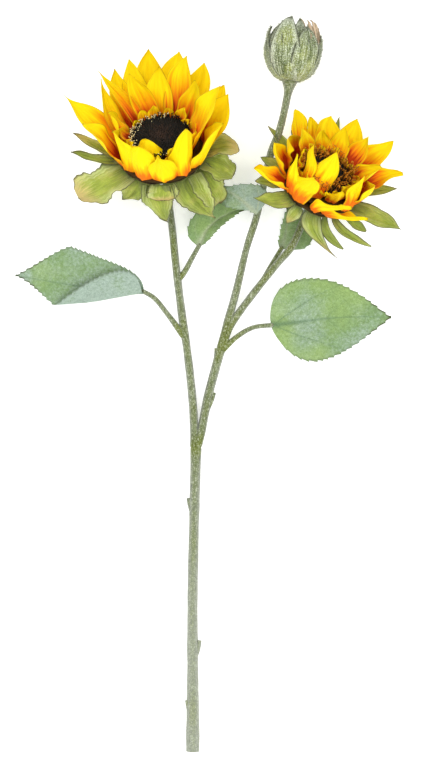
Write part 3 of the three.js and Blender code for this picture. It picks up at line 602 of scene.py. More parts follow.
class Value:
    """A socket in a finish. Each sum with it adds a Math node."""

    def __init__(self, shade, socket):
        self.shade = shade
        self.socket = socket

    def math(self, operation, *terms):
        return self.shade.node("Math", {"operation": operation}, dict(enumerate(terms)))

    def __add__(self, other):
        return self.math("ADD", self, other)

    def __sub__(self, other):
        return self.math("SUBTRACT", self, other)

    def __rsub__(self, other):
        return self.math("SUBTRACT", other, self)

    def __mul__(self, other):
        return self.math("MULTIPLY", self, other)

    def within(self, low, high):
        """0 at low, 1 at high, in a straight line between and level outside."""
        return self.shade.node("MapRange", {}, {0: self, 1: low, 2: high})


class Shade:
    """One finish as it is built up, from nodes to its surface."""

    def __init__(self, name):
        self.material = bpy.data.materials.new(name)
        self.material.use_nodes = True
        self.tree = self.material.node_tree
        self.surface = self.tree.nodes["Principled BSDF"]

    def node(self, kind, settings=None, inputs=None, output=0):
        """A node of a kind, with its settings made first, then its sockets set or linked."""
        made = self.tree.nodes.new("ShaderNode" + kind)
        settings = dict(settings or {})
        stops = settings.pop("stops", [])
        for key, value in settings.items():
            setattr(made, key, value)
        for k, (place, shade) in enumerate(stops):
            stop = made.color_ramp.elements[k] if k < 2 else made.color_ramp.elements.new(place)
            stop.position = place
            stop.color = (*shade, 1)
        for key, value in (inputs or {}).items():
            self.put(made.inputs[key], value)
        return Value(self, made.outputs[output])

    def put(self, socket, value):
        """Links a value to a socket, or sets the socket's own number or colour."""
        if isinstance(value, Value):
            self.tree.links.new(value.socket, socket)
        elif socket.type == "RGBA":
            socket.default_value = (*value, 1)
        else:
            socket.default_value = value

    def read(self, name):
        """A value kept at the piece's points."""
        return self.node("Attribute", {"attribute_name": name}, output=2)

    def reads(self, names):
        """Several of those values, from their names in one line of words."""
        return [self.read(name) for name in names.split()]

    def place(self):
        """Object coordinates, in metres."""
        return self.node("TexCoord", output=3)

    def noise(self, vector, scale, detail=3.0, roughness=0.5):
        return self.node("TexNoise", inputs={
            "Vector": vector, "Scale": scale, "Detail": detail, "Roughness": roughness})

    def spots(self, scale, detail=3.0, roughness=0.5):
        """Noise in the piece's own space."""
        return self.noise(self.place(), scale, detail, roughness)

    def streaks(self, x, y, z, scale, detail=3.0):
        """Noise that is drawn out along a blade, by its own values as x, y and z."""
        return self.noise(self.node("CombineXYZ", inputs={0: x, 1: y, 2: z}), scale, detail)

    def ramp(self, value, stops):
        return self.node("ValToRGB", {"stops": stops}, {0: value})

    def mix(self, share, a, b, how="MIX"):
        """a where share is 0 and b where it is 1, or b laid over a in another way."""
        settings = {"data_type": "RGBA", "blend_type": how}
        return self.node("Mix", settings, {0: share, 6: a, 7: b}, output=2)

    def dimmed(self, base, value):
        """A colour times a number."""
        grey = self.node("CombineColor", inputs={0: value, 1: value, 2: value})
        return self.mix(1.0, base, grey, "MULTIPLY")

    def bump(self, height, strength, distance):
        return self.node("Bump", inputs={"Height": height, "Strength": strength, "Distance": distance})

    def finish(self, **sockets):
        """Sets the surface's sockets, named with spaces as underscores, and gives the material."""
        for key, value in sockets.items():
            self.put(self.surface.inputs[key.replace("_", " ")], value)
        return self.material


def petal_finish(name, tints, reach, fade, rim):
    """Printed cloth: yellow, running in streaks to orange and red at the base of the front face,
    with a dull rim and a painted highlight in a lemon band just inside it. The back is plainer.
    The colour follows the share along the petal, moved by noise that is long down its length, and
    the bowl behind the petals carries painted shade."""
    shade = Shade(name)
    along, across, tone, front = shade.reads("along across tone front")
    streaks = shade.streaks(across * 2.6, along * 0.9, tone * 61, 1.6, 4.0)
    fine = shade.streaks(across * 24, along * 1.8, tone * 43, 1.5)
    inked = along * fade + (streaks - 0.5) * 0.8 + (fine - 0.5) * 0.12 + (tone - 0.5) * 0.2 + reach
    face = shade.ramp(inked, [
        (0.1, tints.petal_red), (0.23, tints.petal_orange), (0.4, tints.petal_gold),
        (0.64, tints.petal_yellow)])
    back = shade.ramp(inked, [
        (0.05, tints.petal_orange), (0.2, tints.petal_gold), (0.4, tints.petal_yellow)])
    cloth = shade.mix(front, back, face)
    edge = shade.read("edge")
    # Painted highlight: a lemon band just inside the petal's edge, standing in for the light on it against
    # shaded neighbours.
    cloth = shade.mix(edge.within(0.78, 0.9) * 0.5, cloth, tints.petal_yellow)
    cloth = shade.mix(edge.within(0.94, 1.0) * rim, cloth, tints.petal_rim)
    # The bowl behind the petals is painted dark, as the shade there.
    cloth = shade.mix(shade.read("bowl"), cloth, tints.petal_painted_shade)
    cloth = shade.dimmed(cloth, fine * 0.3 + streaks * 0.2 - front * 0.08 + 0.86)
    weave = shade.spots(1500.0, 2.0)
    relief = shade.bump(fine + streaks + weave * 0.25, 0.7, 0.0011)
    return shade.finish(
        Base_Color=cloth, Roughness=0.62, Specular_IOR_Level=0.12, Normal=relief)


def sepal_finish(name, tints):
    """Printed cloth: yellow-green with darker streaks, pale margins inside dark rims that keep one
    width, and tan or yellow tips. Painted shadow darkens the feet under the petals, and painted
    shade lies inside the saucer's rim."""
    shade = Shade(name)
    along, across, tone, edge = shade.reads("along across tone edge")
    streaks = shade.streaks(across * 7, along * 1.6, tone * 71, 1.8, 4.0)
    clouds = shade.spots(85.0, 4.0)
    light = (streaks * 0.7 + clouds * 0.6 - 0.35).within(0.1, 0.5)
    body = shade.mix(light, tints.sepal_shade, tints.sepal_green)
    body = shade.mix((clouds - streaks * 0.3).within(0.36, 0.55) * 0.45, body, tints.sepal_yellow)
    pale = (edge + (streaks - 0.5) * 1.6 + (tone - 0.5) * 0.5).within(0.5, 1.05) * 0.7
    body = shade.mix(pale, body, tints.sepal_pale)
    tip = (along + (streaks - 0.5) * 0.4 + (tone - 0.5) * 0.6).within(0.8, 1.08)
    body = shade.mix(tip, body, shade.mix(tone, tints.sepal_tan, tints.sepal_yellow))
    body = shade.mix((edge + (clouds - 0.5) * 0.1).within(0.91, 0.98) * 0.5, body, tints.sepal_rim)
    body = shade.mix(shade.read("brink") * 0.85, body, tints.sepal_rim)
    # Painted shadow on the sepals' feet, where the petals overhang them.
    body = shade.mix((along + (streaks - 0.5) * 0.2).within(0.34, 0.04) * 0.75, body, tints.sepal_shadow)
    # Painted shade inside the saucer's rim, and a little under it.
    body = shade.mix(shade.read("bowl"), body, tints.petal_painted_shade)
    fine = shade.streaks(across * 30, along * 3, tone * 17, 1.6)
    speckle = shade.spots(1100.0, 2.0)
    body = shade.dimmed(body, fine + speckle * 0.4 + 0.4)
    return shade.finish(
        Base_Color=body, Roughness=0.78, Sheen_Weight=0.12, Specular_IOR_Level=0.3,
        Normal=shade.bump(fine + clouds + speckle * 0.4, 0.8, 0.0014))


def leaf_finish(name, tints):
    """Flocked cloth: sage green with soft grey-blue frost, yellow-green patches, a fine felt
    speckle, darker veins and rims, and a dark line round the tip. The back is frosted all over."""
    shade = Shade(name)
    vein, front, edge = shade.reads("vein front edge")
    clouds = shade.spots(26.0, 4.0, 0.55)
    patches = shade.spots(19.0)
    speckle = shade.spots(1150.0, 3.0, 0.7)
    flock = shade.spots(430.0, 3.0, 0.7)
    chill = (shade.read("frost") - 0.5) * 0.5
    frost = (clouds + chill + (flock - 0.5) * 0.6 + (1 - front) * 0.2).within(0.36, 0.7)
    body = shade.mix(frost, tints.leaf_green, tints.leaf_frost)
    patch = (patches + shade.read("warm") * 0.16).within(0.52, 0.7)
    body = shade.mix(patch * 0.6 * front, body, tints.leaf_patch)
    rib = shade.mix(shade.read("pale"), tints.leaf_vein, tints.leaf_rib)
    body = shade.mix(vein * 0.8, body, rib)
    body = shade.mix((edge + (flock - 0.5) * 0.1).within(0.93, 1.0) * 0.6, body, tints.leaf_rim)
    tip = shade.read("along").within(0.74, 0.84)
    body = shade.mix(shade.read("brink") * tip, body, tints.bud_rim_and_shade)
    body = shade.dimmed(body, speckle * 1.2 + flock * 0.6 + 0.04)
    return shade.finish(
        Base_Color=body, Roughness=0.86, Sheen_Weight=0.15, Specular_IOR_Level=0.3,
        Normal=shade.bump(speckle + flock, 0.6, 0.0005))


def stem_finish(name, tints):
    """Moulded stem: olive along the top and at the forks, with pale sides, and a fine flock
    broken by dark grain. The foot of the spray is the palest."""
    shade = Shade(name)
    rib, top, node = shade.reads("rib top node")
    foot = shade.node("SeparateXYZ", {}, {0: shade.place()}, output=1).within(-0.05, -0.2)
    patches = shade.spots(26.0)
    grain = shade.noise(shade.node("Mapping", {}, {0: shade.place(), 3: (1, 0.45, 1)}), 800.0, 4.0, 0.7)
    speckle = shade.spots(1200.0, 2.0)
    core = shade.mix((patches + node * 0.3).within(0.5, 0.66), tints.stem_green, tints.stem_patch)
    # Olive where the tube faces up and at the forks, paler as it turns to its sides.
    olive_share = top * 0.9 + (grain - 0.5) * 1.2 + (patches - 0.5) * 0.6 + node * 0.4 - foot * 0.25
    body = shade.mix(olive_share.within(0.42, 0.8), tints.stem_side, core)
    flock = (grain * 0.7 + speckle * 0.6 + rib * 0.08 - node * 0.05).within(0.67, 0.84)
    body = shade.mix(flock * 0.6, body, tints.stem_flock)
    body = shade.dimmed(body, grain * 1.7 + speckle * 0.8 + foot * 0.04 - 0.56)
    body = shade.mix(foot * 0.3, body, tints.stem_side)
    return shade.finish(
        Base_Color=body, Roughness=0.86, Sheen_Weight=0.1, Specular_IOR_Level=0.3,
        Normal=shade.bump(grain + speckle * 0.5, 0.8, 0.0007))


def disc_finish(name, tints):
    """Dark florets: near-black, going to brown in the middle of the disc."""
    shade = Shade(name)
    middle, tone = shade.reads("middle tone")
    body = shade.mix((middle + (tone - 0.5) * 0.4).within(0.45, 1.0), tints.disc_dark, tints.disc_brown)
    speckle = shade.spots(1600.0, 2.0)
    body = shade.dimmed(body, speckle * 1.1 + tone * 0.6 + 0.25)
    return shade.finish(
        Base_Color=body, Roughness=0.75, Specular_IOR_Level=0.3, Normal=shade.bump(speckle, 0.5, 0.0004))


def stamen_finish(name, tints):
    """Curled threads: dark with cream tips, or gold all along."""
    shade = Shade(name)
    along, tone, gold = shade.reads("along tone gold")
    lit = gold * along.within(0.05, 0.75) * (tone * 0.4 + 0.6)
    body = shade.mix(lit, tints.disc_dark, tints.stamen_gold)
    body = shade.mix(along.within(0.5, 0.8) * tone * (1 - gold), body, tints.stamen_cream)
    speckle = shade.spots(2000.0, 2.0)
    body = shade.dimmed(body, speckle * 0.6 + 0.7)
    return shade.finish(Base_Color=body, Roughness=0.6, Specular_IOR_Level=0.12)


def bud_finish(name, tints):
    """Fuzzy bracts: sage with yellow-green patches, frosted ridges down their length, and pale
    frayed margins with a dark rim, which is partly their own edge colour and partly painted shade of
    the gaps between bracts. The core, and the low bracts towards their edges, carry painted shade
    where the upper bracts overlap them."""
    shade = Shade(name)
    along, across, tone, edge = shade.reads("along across tone edge")
    streaks = shade.streaks(across * 8, along * 2.2, tone * 57, 1.7, 4.0)
    clouds = shade.spots(70.0, 4.0)
    light = (streaks * 0.8 + clouds * 0.5 - 0.3).within(0.16, 0.44)
    body = shade.mix(light, tints.bud_shade, tints.bud_green)
    body = shade.mix((clouds + (1 - along) * 0.14).within(0.54, 0.7) * 0.7, body, tints.bud_patch)
    flock = shade.spots(900.0, 4.0, 0.7)
    body = shade.mix((flock + (streaks - 0.5) * 0.8).within(0.48, 0.62) * 0.6, body, tints.bud_frost)
    body = shade.mix((along + (streaks - 0.5) * 0.1).within(0.9, 0.99) * 0.8, body, tints.bud_rim_and_shade)
    # Painted shade on the core and on the low bracts towards their edges, where the upper bracts overlap
    # them.
    contact_shade = (edge + (streaks - 0.5) * 0.3).within(0.3, 0.85) * shade.read("low")
    body = shade.mix(contact_shade * 0.8, body, tints.bud_rim_and_shade)
    margin = (edge + (flock - 0.5) * 0.9 + (tone - 0.5) * 0.3).within(0.6, 0.9) * 0.6
    body = shade.mix(margin, body, tints.bud_frost)
    # The dark rim is partly the bracts' own edge colour and partly painted shade of the gaps between them.
    rim = (edge + (flock - 0.5) * 0.2 + along * 0.06).within(0.9, 0.98)
    body = shade.mix(rim * 0.9, body, tints.bud_rim_and_shade)
    speckle = shade.spots(1300.0, 2.0)
    body = shade.dimmed(body, speckle * 2.4 + flock * 2.0 + streaks * 0.6 - 1.5)
    return shade.finish(
        Base_Color=body, Roughness=0.88, Sheen_Weight=0.2, Specular_IOR_Level=0.3,
        Normal=shade.bump(flock, 0.8, 0.0009))


def tip_finish(name, tints):
    """The bud's petals, where they show: dry pinkish cream with orange streaks."""
    shade = Shade(name)
    along, across, tone = shade.reads("along across tone")
    streaks = shade.streaks(across * 8, along * 2, tone * 31, 1.8)
    body = shade.mix((along * 0.5 + streaks).within(0.4, 0.7), tints.sepal_tan, tints.bud_petal)
    body = shade.mix(shade.read("edge").within(0.8, 1.0) * 0.6, body, tints.sepal_rim)
    body = shade.dimmed(body, streaks * 1.3 + tone * 0.5 - 0.05)
    return shade.finish(Base_Color=body, Roughness=0.7, Normal=shade.bump(streaks, 0.4, 0.0005))


def floor_finish(name, tints):
    """A plain pale floor."""
    shade = Shade(name)
    return shade.finish(
        Base_Color=tints.floor_pale, Roughness=0.9,
        Emission_Color=tints.floor_pale, Emission_Strength=0.35)


# Shapes

def bloom_axes(bloom):
    """Right across the bloom, down its back and out of its face, from its lean and rise."""
    a, e = np.radians(bloom.lean), np.radians(bloom.rise)
    right = np.array((np.cos(a), -np.sin(a), 0))
    back = np.array((np.sin(a) * np.sin(e), np.cos(a) * np.sin(e), -np.cos(e)))
    out = np.array((np.sin(a) * np.cos(e), np.cos(a) * np.cos(e), np.sin(e)))
    return right, back, out


def turned(profile, bloom, sides=96, rows=40, ripple=0.0, under=1.0):
    """A smooth profile of radius and height turned about a bloom's axis, with ripples of the
    radius, and of the height at the rim. Inside the rim, and under it by a share, it is marked
    to take painted shade."""
    line = curve_through(np.array(profile, float), rows)[0] * bloom.scale
    angle = np.linspace(0, 2 * np.pi, sides, endpoint=False)
    r, h = line[:, :1].clip(0.02), line[:, 1:]
    wave = np.sin(7 * angle) + np.sin(11 * angle + 1) + 0.7 * np.sin(19 * angle + 2)
    h = h + ripple * wave * (r / r.max()) ** 6
    r = r * (1 - 0.02 * ripple * (wave + 2))
    rings = around(bloom.centre, bloom_axes(bloom), r, angle, h)
    share = np.broadcast_to(r / r.max(), rings.shape[:2])
    inside = np.arange(rows)[:, None] > np.argmax(line[:, 0])
    # bowl marks painted shade: 1 inside the rim, and the given share under it
    return round_form(rings, across=np.cos(3 * angle)[None], tone=0.5, middle=1 - share,
                      bowl=np.where(inside, 1.0, under))


def outline_width(outline, s):
    """Half width at share s: a quarter sine up to the widest place, then a cosine to a power."""
    rise = outline.base + (1 - outline.base) * np.sin(np.pi / 2 * np.clip(s / outline.widest, 0, 1))
    fall = np.cos(np.pi / 2 * np.clip((s - outline.widest) / (1 - outline.widest), 0, 1))
    return np.where(s < outline.widest, rise, np.maximum(fall, 0) ** outline.close).clip(0.03)


def blade(row, bloom, base, outline, wall, rng, ruffle, pleat, ragged=0.0, stations=44, points=21):
    """A petal or sepal: middle(s) + reach(x) across + dip(x) lean. The middle climbs from the
    axis by lift and bend, reach and dip are an arc over the half width, twist turns the pair
    about the way, and ruffles and pleats are waves added to the dip. The brink is 1 on the edge
    and fades within a millimetre of it."""
    turn, lift, bend, length, width, arch, twist, sway, *own = row
    outline = OUTLINES[own[0] if own else outline]
    curl = np.radians(own[1] if own else rng.uniform(*TIP_CURL))
    hook = rng.uniform(-1, 1, 2) * length * HOOK
    axes = bloom_axes(bloom)
    out = axes[2]
    ray, side = spokes(axes, np.radians(turn))
    s = np.linspace(0, 1, stations)[:, None]
    x = np.linspace(-1, 1, points)[None]
    climb = np.radians(lift + bend * (s + 0.125)) + curl * s ** 4
    way = np.cos(climb) * ray + np.sin(climb) * out
    up = -np.sin(climb) * ray + np.cos(climb) * out
    start = np.array(bloom.centre) + (ray * base[0] + out * base[1]) * bloom.scale
    middle = start + (np.cumsum(way, axis=0) - way[:1]) * length / (stations - 1)
    middle = middle + side * (sway * s ** 2 + hook[0] * s ** 5 + hook[1] * np.sin(2 * np.pi * s) * s)
    theta = np.radians(twist) * s
    across = side * np.cos(theta) + up * np.sin(theta)
    lean = up * np.cos(theta) - side * np.sin(theta)
    phase = rng.random(8) * 2 * np.pi
    slow = 2 * np.pi * s * rng.uniform(1.2, 2.2, 2)
    wobble = np.where(x > 0, np.sin(slow[:, :1] + phase[0]), np.sin(slow[:, 1:] + phase[1]))
    jag = np.where(x > 0, np.sin(34 * s + phase[2]) + np.sin(61 * s + phase[3]),
                   np.sin(37 * s + phase[4]) + np.sin(57 * s + phase[5]))
    stray = (0.045 * wobble + ragged * jag) * smooth(0, 0.5, s)
    half = width / 2 * outline_width(outline, s) * (1 + stray)
    c = np.radians(max(arch, 1))
    reach = half * np.sin(c * x) / c
    waves = np.where(x > 0, np.sin(13.2 * s + phase[6]), np.sin(10.7 * s + phase[7]))
    fold = ruffle * rng.uniform(0.6, 1.4)
    dip = half * (1 - np.cos(c * x)) / c + fold * np.abs(x) ** 2.5 * waves * smooth(0.1, 0.5, s)
    crease = np.cos(3.2 * np.pi * x + phase[2]) * 0.5 + 1.3 * np.exp(-(x / 0.13) ** 2)
    dip = dip - pleat * crease * (1 - smooth(0.7, 1, s)) * smooth(-0.15, 0.2, s)
    sheet = middle[:, None] + across[:, None] * reach[..., None] + lean[:, None] * dip[..., None]
    thin = wall * (1 - 0.6 * np.abs(x) ** 6) * (1 - 0.5 * s ** 6)
    edge = np.maximum(np.abs(x), s ** 3)
    drawn = rng.random()
    tone = own[2] if len(own) > 2 else drawn
    brink = np.exp(-(half * (1 - np.abs(x)) / BLADE_BRINK) ** 2)
    return shell(sheet, thin, along=s, across=x, tone=tone, edge=edge, brink=brink)


def leaf_half(half, fold, teeth, depth, s, x, length):
    """One half of a leaf on its section: how far out and up each point lies, and its distance
    along the section. The edge rises like a sine to its widest place, falls from there like a
    cosine to a power mixed with a straight line, and has teeth. The section runs out at the rise,
    and past the fold's line it turns evenly over the fold's arc by the fold's angle."""
    bow = np.radians(half.bow)
    rise_in = np.sin(bow * np.clip(s / half.widest, 0, 1) ** half.square) / np.sin(bow)
    past = np.clip((s - half.widest) / (1 - half.widest), 0, 1)
    fall = half.corner * (1 - past) + (1 - half.corner) * np.cos(np.pi / 2 * past).clip(0) ** half.close
    width = half.width * np.where(s < half.widest, rise_in, fall)
    tooth = (s * teeth + 0.12 * np.sin(31 * s)) % 1
    width = np.maximum(width + depth * (tooth ** 1.6 - 0.35) * smooth(0.02, 0.12, s), 0.25)
    reach = width * x
    turn = np.full_like(reach, np.radians(half.rise))
    if fold:
        line = np.maximum(fold.slope * s * length, 1)
        turn = turn + np.radians(fold.angle) * np.clip((reach - line) / fold.arc, 0, 1)
    gap = np.diff(reach, axis=1, prepend=0)
    return np.cumsum(gap * np.cos(turn), axis=1), np.cumsum(gap * np.sin(turn), axis=1), reach


def leaf_shape(leaf, depth, wall, rng, stations=320, points=40):
    """A leaf: midrib(s) + out left + up, over both halves, then moved along its normal by its
    relief. Side veins leave the midrib and lean to the tip; they sink into the front, and the
    cloth swells between them. The brink is 1 on the edge and fades within two millimetres."""
    line, way, length = curve_through(leaf.route, stations)
    s = np.linspace(0, 1, stations)[:, None]
    x = np.linspace(0, 1, points)[None]
    left = unit(np.cross((0, 0, 1), way))
    up = np.cross(way, left)
    lift = 0.7 * np.sin(2 * np.pi * (1.4 * s + rng.random()))
    halves = []
    for sign, half, fold in ((1, leaf.left, leaf.fold), (-1, leaf.right, None)):
        go, rise, reach = leaf_half(half, fold, leaf.teeth, depth, s, x, length)
        wave = 0.9 * (reach / half.width) ** 2 * np.sin(2 * np.pi * (2.3 * s + rng.random()))
        point = (line[:, None] + sign * go[..., None] * left[:, None]
                 + (rise + wave + lift * x)[..., None] * up[:, None])
        veins = np.zeros_like(reach)
        ridge = np.zeros_like(reach)
        for share, slant, strength in leaf.veins:
            off = (s - share) * length - reach * slant - reach ** 2 * 0.012 * slant
            veins = np.maximum(veins, strength * np.exp(-(off / 1.1) ** 2) * (1 - 0.8 * x))
            ridge = np.maximum(ridge, strength * np.exp(-(off / 3) ** 2))
        middle = np.exp(-(reach / (0.7 + 0.5 * leaf.pale + 3 * (1 - s) ** 5)) ** 2) * (1 - 0.7 * s)
        brink = np.exp(-((reach[:, -1:] - reach) / LEAF_BRINK) ** 2)
        halves.append((point, np.maximum(veins, middle), ridge * (1 - x ** 4), brink, x))
    sheet, vein, ridge, brink, edge = (
        np.concatenate([of_right[:, :0:-1], of_left], axis=1) for of_left, of_right in zip(*halves))
    normal = unit(np.cross(np.gradient(sheet, axis=0), np.gradient(sheet, axis=1)))
    sheet = sheet - normal * (0.5 * ridge + 0.3 * vein)[..., None]
    thin = wall * (1 - 0.5 * edge ** 8)
    return shell(sheet, thin, along=s, vein=vein, edge=edge, brink=brink, warm=leaf.warm * (1.5 - s),
                 frost=leaf.frost * (1.2 - 0.5 * s), pale=leaf.pale)


def bud_axes():
    """Right across the bud, down its back, and along its axis."""
    out = unit(np.array(BUD_AXIS))
    right = unit(np.array((1, 0, 0)) - out * out[0])
    return right, np.cross(out, right), out


def egg_radius(t):
    """Radius of the bud at share t of its height: R sin(pi t^low)^full."""
    return BUD_RADIUS * np.sin(np.pi * np.clip(t, 0, 1) ** BUD_LOWNESS).clip(0) ** BUD_FULLNESS


def bract(row, wall, rng, start=BRACT_START, sink=BRACT_SINK, stations=46, points=19):
    """A bract on the egg: base + (R(t) + lift) (cos a right + sin a back) + t H out, where a runs
    across the bract, its rims and tip stand off the egg, and its foot sinks into it."""
    turn, top, half_width, stand_off = row
    s = np.linspace(0, 1, stations)[:, None]
    x = np.linspace(-1, 1, points)[None]
    t = start + (top - start) * s
    radius = egg_radius(t)
    wide = half_width * outline_width(OUTLINES["bract"], s) * 1.12
    angle = np.radians(turn) + x * wide / np.maximum(radius, 6.5) + rng.uniform(-0.12, 0.12) * s ** 2
    phase = rng.random(3) * 2 * np.pi
    lift = stand_off + 0.8 * np.abs(x) ** 3 * smooth(0.2, 0.7, s)
    lift = lift - 0.4 * np.exp(-(x / 0.14) ** 2) * smooth(0.05, 0.3, s)
    lift = lift + 0.5 * np.sin(2 * np.pi * 1.6 * s + phase[0]) * x
    lift = lift + rng.uniform(0.2, 2.4) * smooth(0.78, 1, s) - sink[0] * (1 - s) ** sink[1]
    sheet = around(BUD_BASE, bud_axes(), radius + lift, angle, t * BUD_HEIGHT)
    thin = wall * (1 - 0.5 * np.abs(x) ** 6) * (1 - 0.4 * s ** 6)
    return shell(sheet, thin, along=s, across=x, tone=rng.random(), edge=np.maximum(np.abs(x), s ** 3),
                 low=float(stand_off < BRACT_LOW))


# Operators

class Build(bpy.types.Operator):
    """A step of the spray's making"""

    bl_options = {"REGISTER", "UNDO"}

    def execute(self, context):
        self.build(context.scene.spray_sizes, context.scene.spray_colours)
        return {"FINISHED"}


class SPRAY_OT_stems(Build):
    """Makes the stems and stalks, with the stubs of trimmed shoots"""

    bl_idname = "spray.stems"
    bl_label = "Stems"

    def build(self, sizes, tints):
        finish = stem_finish("stem_moulding", tints)
        rng = np.random.default_rng(SEED)
        for name, (route, radii) in STEMS.items():
            if name in BLOOM_STEMS:
                bloom = BLOOMS[BLOOM_STEMS[name]]
                out = bloom_axes(bloom)[2]
                route = [*route, *(np.array(bloom.centre) + out * h * bloom.scale for h in NECK_HEIGHTS)]
            budded = name == "bud_stem"
            if budded:
                route = [*route, BUD_STEM_END]
                radii = [*radii[:-1], radii[-2]]
            forms = [tube(route, radii, rng, square=(name == "main_stem", budded),
                          flare=BUD_STEM_FLARE if budded else 0)]
            for stem, at, toward, radius, length in STUBS:
                if stem != name:
                    continue
                tip = np.array(at) + unit(np.array(toward)) * length
                inwards = (np.sign(toward[0]), 0, 1)
                root = np.array(at) - np.array(toward) * STUB_ROOT - inwards
                forms.append(tube([root, at, tip], [radius * 0.7, radius, radius], rng,
                                  sides=18, step=0.4, square=(False, True), knuckle=0))
            piece(name + "_moulding", forms, finish, [name])


class SPRAY_OT_leaves(Build):
    """Makes the five leaves, with teeth, veins and quilting"""

    bl_idname = "spray.leaves"
    bl_label = "Leaves"

    def build(self, sizes, tints):
        finish = leaf_finish("leaf_flock", tints)
        rng = np.random.default_rng(SEED + 1)
        for name, leaf in LEAVES.items():
            form = leaf_shape(leaf, sizes.tooth_depth * MM, sizes.leaf_thickness * MM, rng)
            piece(name + "_cloth", [form], finish, [name])


class SPRAY_OT_petals(Build):
    """Makes the outer and inner petals and the short florets of each bloom"""

    bl_idname = "spray.petals"
    bl_label = "Petals and florets"

    def build(self, sizes, tints):
        wall = sizes.petal_thickness * MM
        rng = np.random.default_rng(SEED + 2)
        for name, bloom in BLOOMS.items():
            outer = petal_finish(name + "_petal_cloth", tints, -bloom.ink, bloom.fade, 0.6)
            inner = petal_finish(name + "_inner_petal_cloth", tints, -bloom.ink - 0.06, bloom.fade, 0.5)
            short = petal_finish(name + "_floret_cloth", tints, -0.3, 1, 0.08)
            florets = floret_rows(bloom.scale, rng)
            rings = (
                ("outer_petals", bloom.outer, "outer", OUTER_BOWL, "petal", outer, "petal"),
                ("inner_petals", bloom.inner, "inner", INNER_BOWL, "petal", inner, "inner_petal"),
                ("florets", florets, "florets", FLORET_BOWL, "floret", short, "floret"),
            )
            for ring, rows, base, bowl, outline, finish, slot in rings:
                forms = [blade(row, bloom, BASES[base], outline, wall, rng, PETAL_RUFFLE, PLEAT)
                         for row in rows]
                # Each ring's bowl is painted dark as the shade behind its blades.
                forms = [turned(bowl, bloom), *forms]
                piece(f"{name}_{ring}_cloth", forms, finish, [f"{name}_{ring}"])


def floret_rows(scale, rng):
    """Rows of the short florets round the disc, each a little different."""
    return [
        (360 * (k + rng.uniform(-0.25, 0.25)) / RING_FLORETS, 56 + rng.uniform(-16, 10), 14,
         (16 + rng.uniform(-3.5, 3)) * scale, (11.5 + rng.uniform(-1.5, 1.5)) * scale, 50,
         rng.uniform(-25, 25), rng.uniform(-2, 2))
        for k in range(RING_FLORETS)]


class SPRAY_OT_sepals(Build):
    """Makes the sepals with their saucer, and the cup that joins each bloom to its stem"""

    bl_idname = "spray.sepals"
    bl_label = "Sepals and cups"

    def build(self, sizes, tints):
        cloth = sepal_finish("sepal_cloth", tints)
        moulding = stem_finish("cup_moulding", tints)
        rng = np.random.default_rng(SEED + 3)
        wall = sizes.sepal_thickness * MM
        for name, bloom in BLOOMS.items():
            # The saucer takes painted shade inside its rim and, at a quarter, under it.
            forms = [turned(SAUCER, bloom, ripple=0.45, under=0.25)]
            for row in bloom.sepals:
                rooted = (*row[:3], row[3] + SEPAL_ROOT, *row[4:])
                ruffle = bloom.ruffle * row[4]
                forms.append(blade(rooted, bloom, BASES["sepals"], "sepal", wall, rng,
                                   ruffle, PLEAT, SEPAL_RAGS * ruffle))
            piece(f"{name}_sepals_cloth", forms, cloth, [f"{name}_sepals"])
            piece(f"{name}_cup_moulding", [turned(CUP, bloom)], moulding, [f"{name}_cup"])


